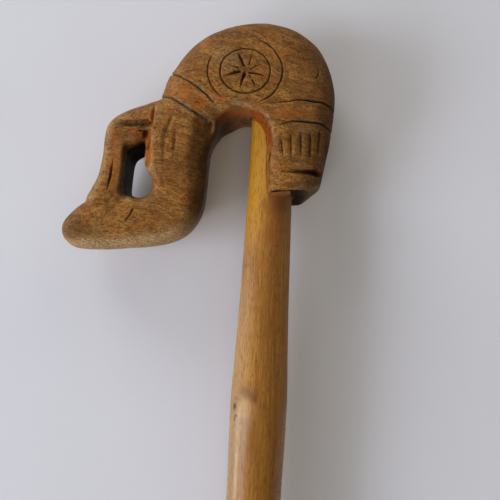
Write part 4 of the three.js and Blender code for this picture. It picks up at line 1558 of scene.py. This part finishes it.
class STICK_OT_foot(bpy.types.Operator):
    """Make the rubber ferrule"""

    bl_idname = "stick.foot"
    bl_label = "Rubber ferrule"

    def execute(self, context):
        settings = context.scene.stick.foot
        mesh, rubber = ferrule_mesh(settings), moulded_rubber(settings)
        finished("ringed_ferrule", mesh, rubber, "ferrule", "black_rubber", "rubber_ferrule")
        return {"FINISHED"}


class STICK_OT_inner(bpy.types.Operator):
    """Give the dowel and the washer their finishes"""

    bl_idname = "stick.inner"
    bl_label = "Dowel and washer"

    def execute(self, context):
        dress("joint_dowel", turned_dowel())
        dress("ferrule_washer", plated_washer())
        return {"FINISHED"}


class STICK_OT_stage(bpy.types.Operator):
    """Set the board, the floor, the light and the camera"""

    bl_idname = "stick.stage"
    bl_label = "Stage"

    def execute(self, context):
        settings = context.scene.stick.stage
        gap = settings.gap / MM
        middle = cad_box[1].z / MM / 2
        wall = fading_board(
            "board_matt_paint", settings, (0, gap, middle), BOARD_FADE, BOARD_SQUEEZE, one_sided=True
        )
        half, (foot, top) = BOARD_HALF, BOARD_HEIGHTS
        corners = [(-half, gap, foot), (half, gap, foot), (half, gap, top), (-half, gap, top)]
        sheet_object("board", corners, wall)
        floor = fading_board("floor_matt_paint", settings, (0, 0, 0), FLOOR_FADE)
        half = FLOOR_HALF
        corners = [(-half, -half, 0), (half, -half, 0), (half, half, 0), (-half, half, 0)]
        sheet_object("floor", corners, floor)
        for lamp in LAMPS:
            area_lamp(*lamp)
        make_world((0.3, 0.3, 0.3), (0.2, 0.2, 0.2), linear("#c6c7cc"))
        make_camera()
        context.scene.view_settings.view_transform = "Standard"
        return {"FINISHED"}


class STICK_PT_panel(bpy.types.Panel):
    """Lists the settings and the operators"""

    bl_label = "Carved walking stick"
    bl_space_type = "VIEW_3D"
    bl_region_type = "UI"
    bl_category = "Stick"

    def draw(self, context):
        layout = self.layout
        for title, group in GROUPS:
            box = layout.box()
            box.label(text=title)
            settings = getattr(context.scene.stick, group)
            for name in settings.bl_rna.properties.keys():
                if name not in ("rna_type", "name"):
                    box.prop(settings, name)
        for operator in OPERATORS:
            layout.operator(operator.bl_idname)


GROUPS = (("Handle", "handle"), ("Shaft", "shaft"), ("Ferrule", "foot"), ("Stage", "stage"))
OPERATORS = (STICK_OT_stage, STICK_OT_handle, STICK_OT_shaft, STICK_OT_glue, STICK_OT_foot, STICK_OT_inner)
SETTINGS = (HandleSettings, ShaftSettings, FootSettings, StageSettings, StickSettings)


def register():
    """Makes the settings, the operators and the panel known to Blender."""
    for each in (*SETTINGS, *OPERATORS, STICK_PT_panel):
        bpy.utils.register_class(each)
    bpy.types.Scene.stick = PointerProperty(type=StickSettings)


def unregister():
    """Takes them away again."""
    del bpy.types.Scene.stick
    for each in reversed((*SETTINGS, *OPERATORS, STICK_PT_panel)):
        bpy.utils.unregister_class(each)


def main():
    """Makes everything in order."""
    register()
    bpy.ops.stick.stage()
    bpy.ops.stick.handle()
    bpy.ops.stick.shaft()
    bpy.ops.stick.glue()
    bpy.ops.stick.foot()
    bpy.ops.stick.inner()


if __name__ == "__main__":
    main()
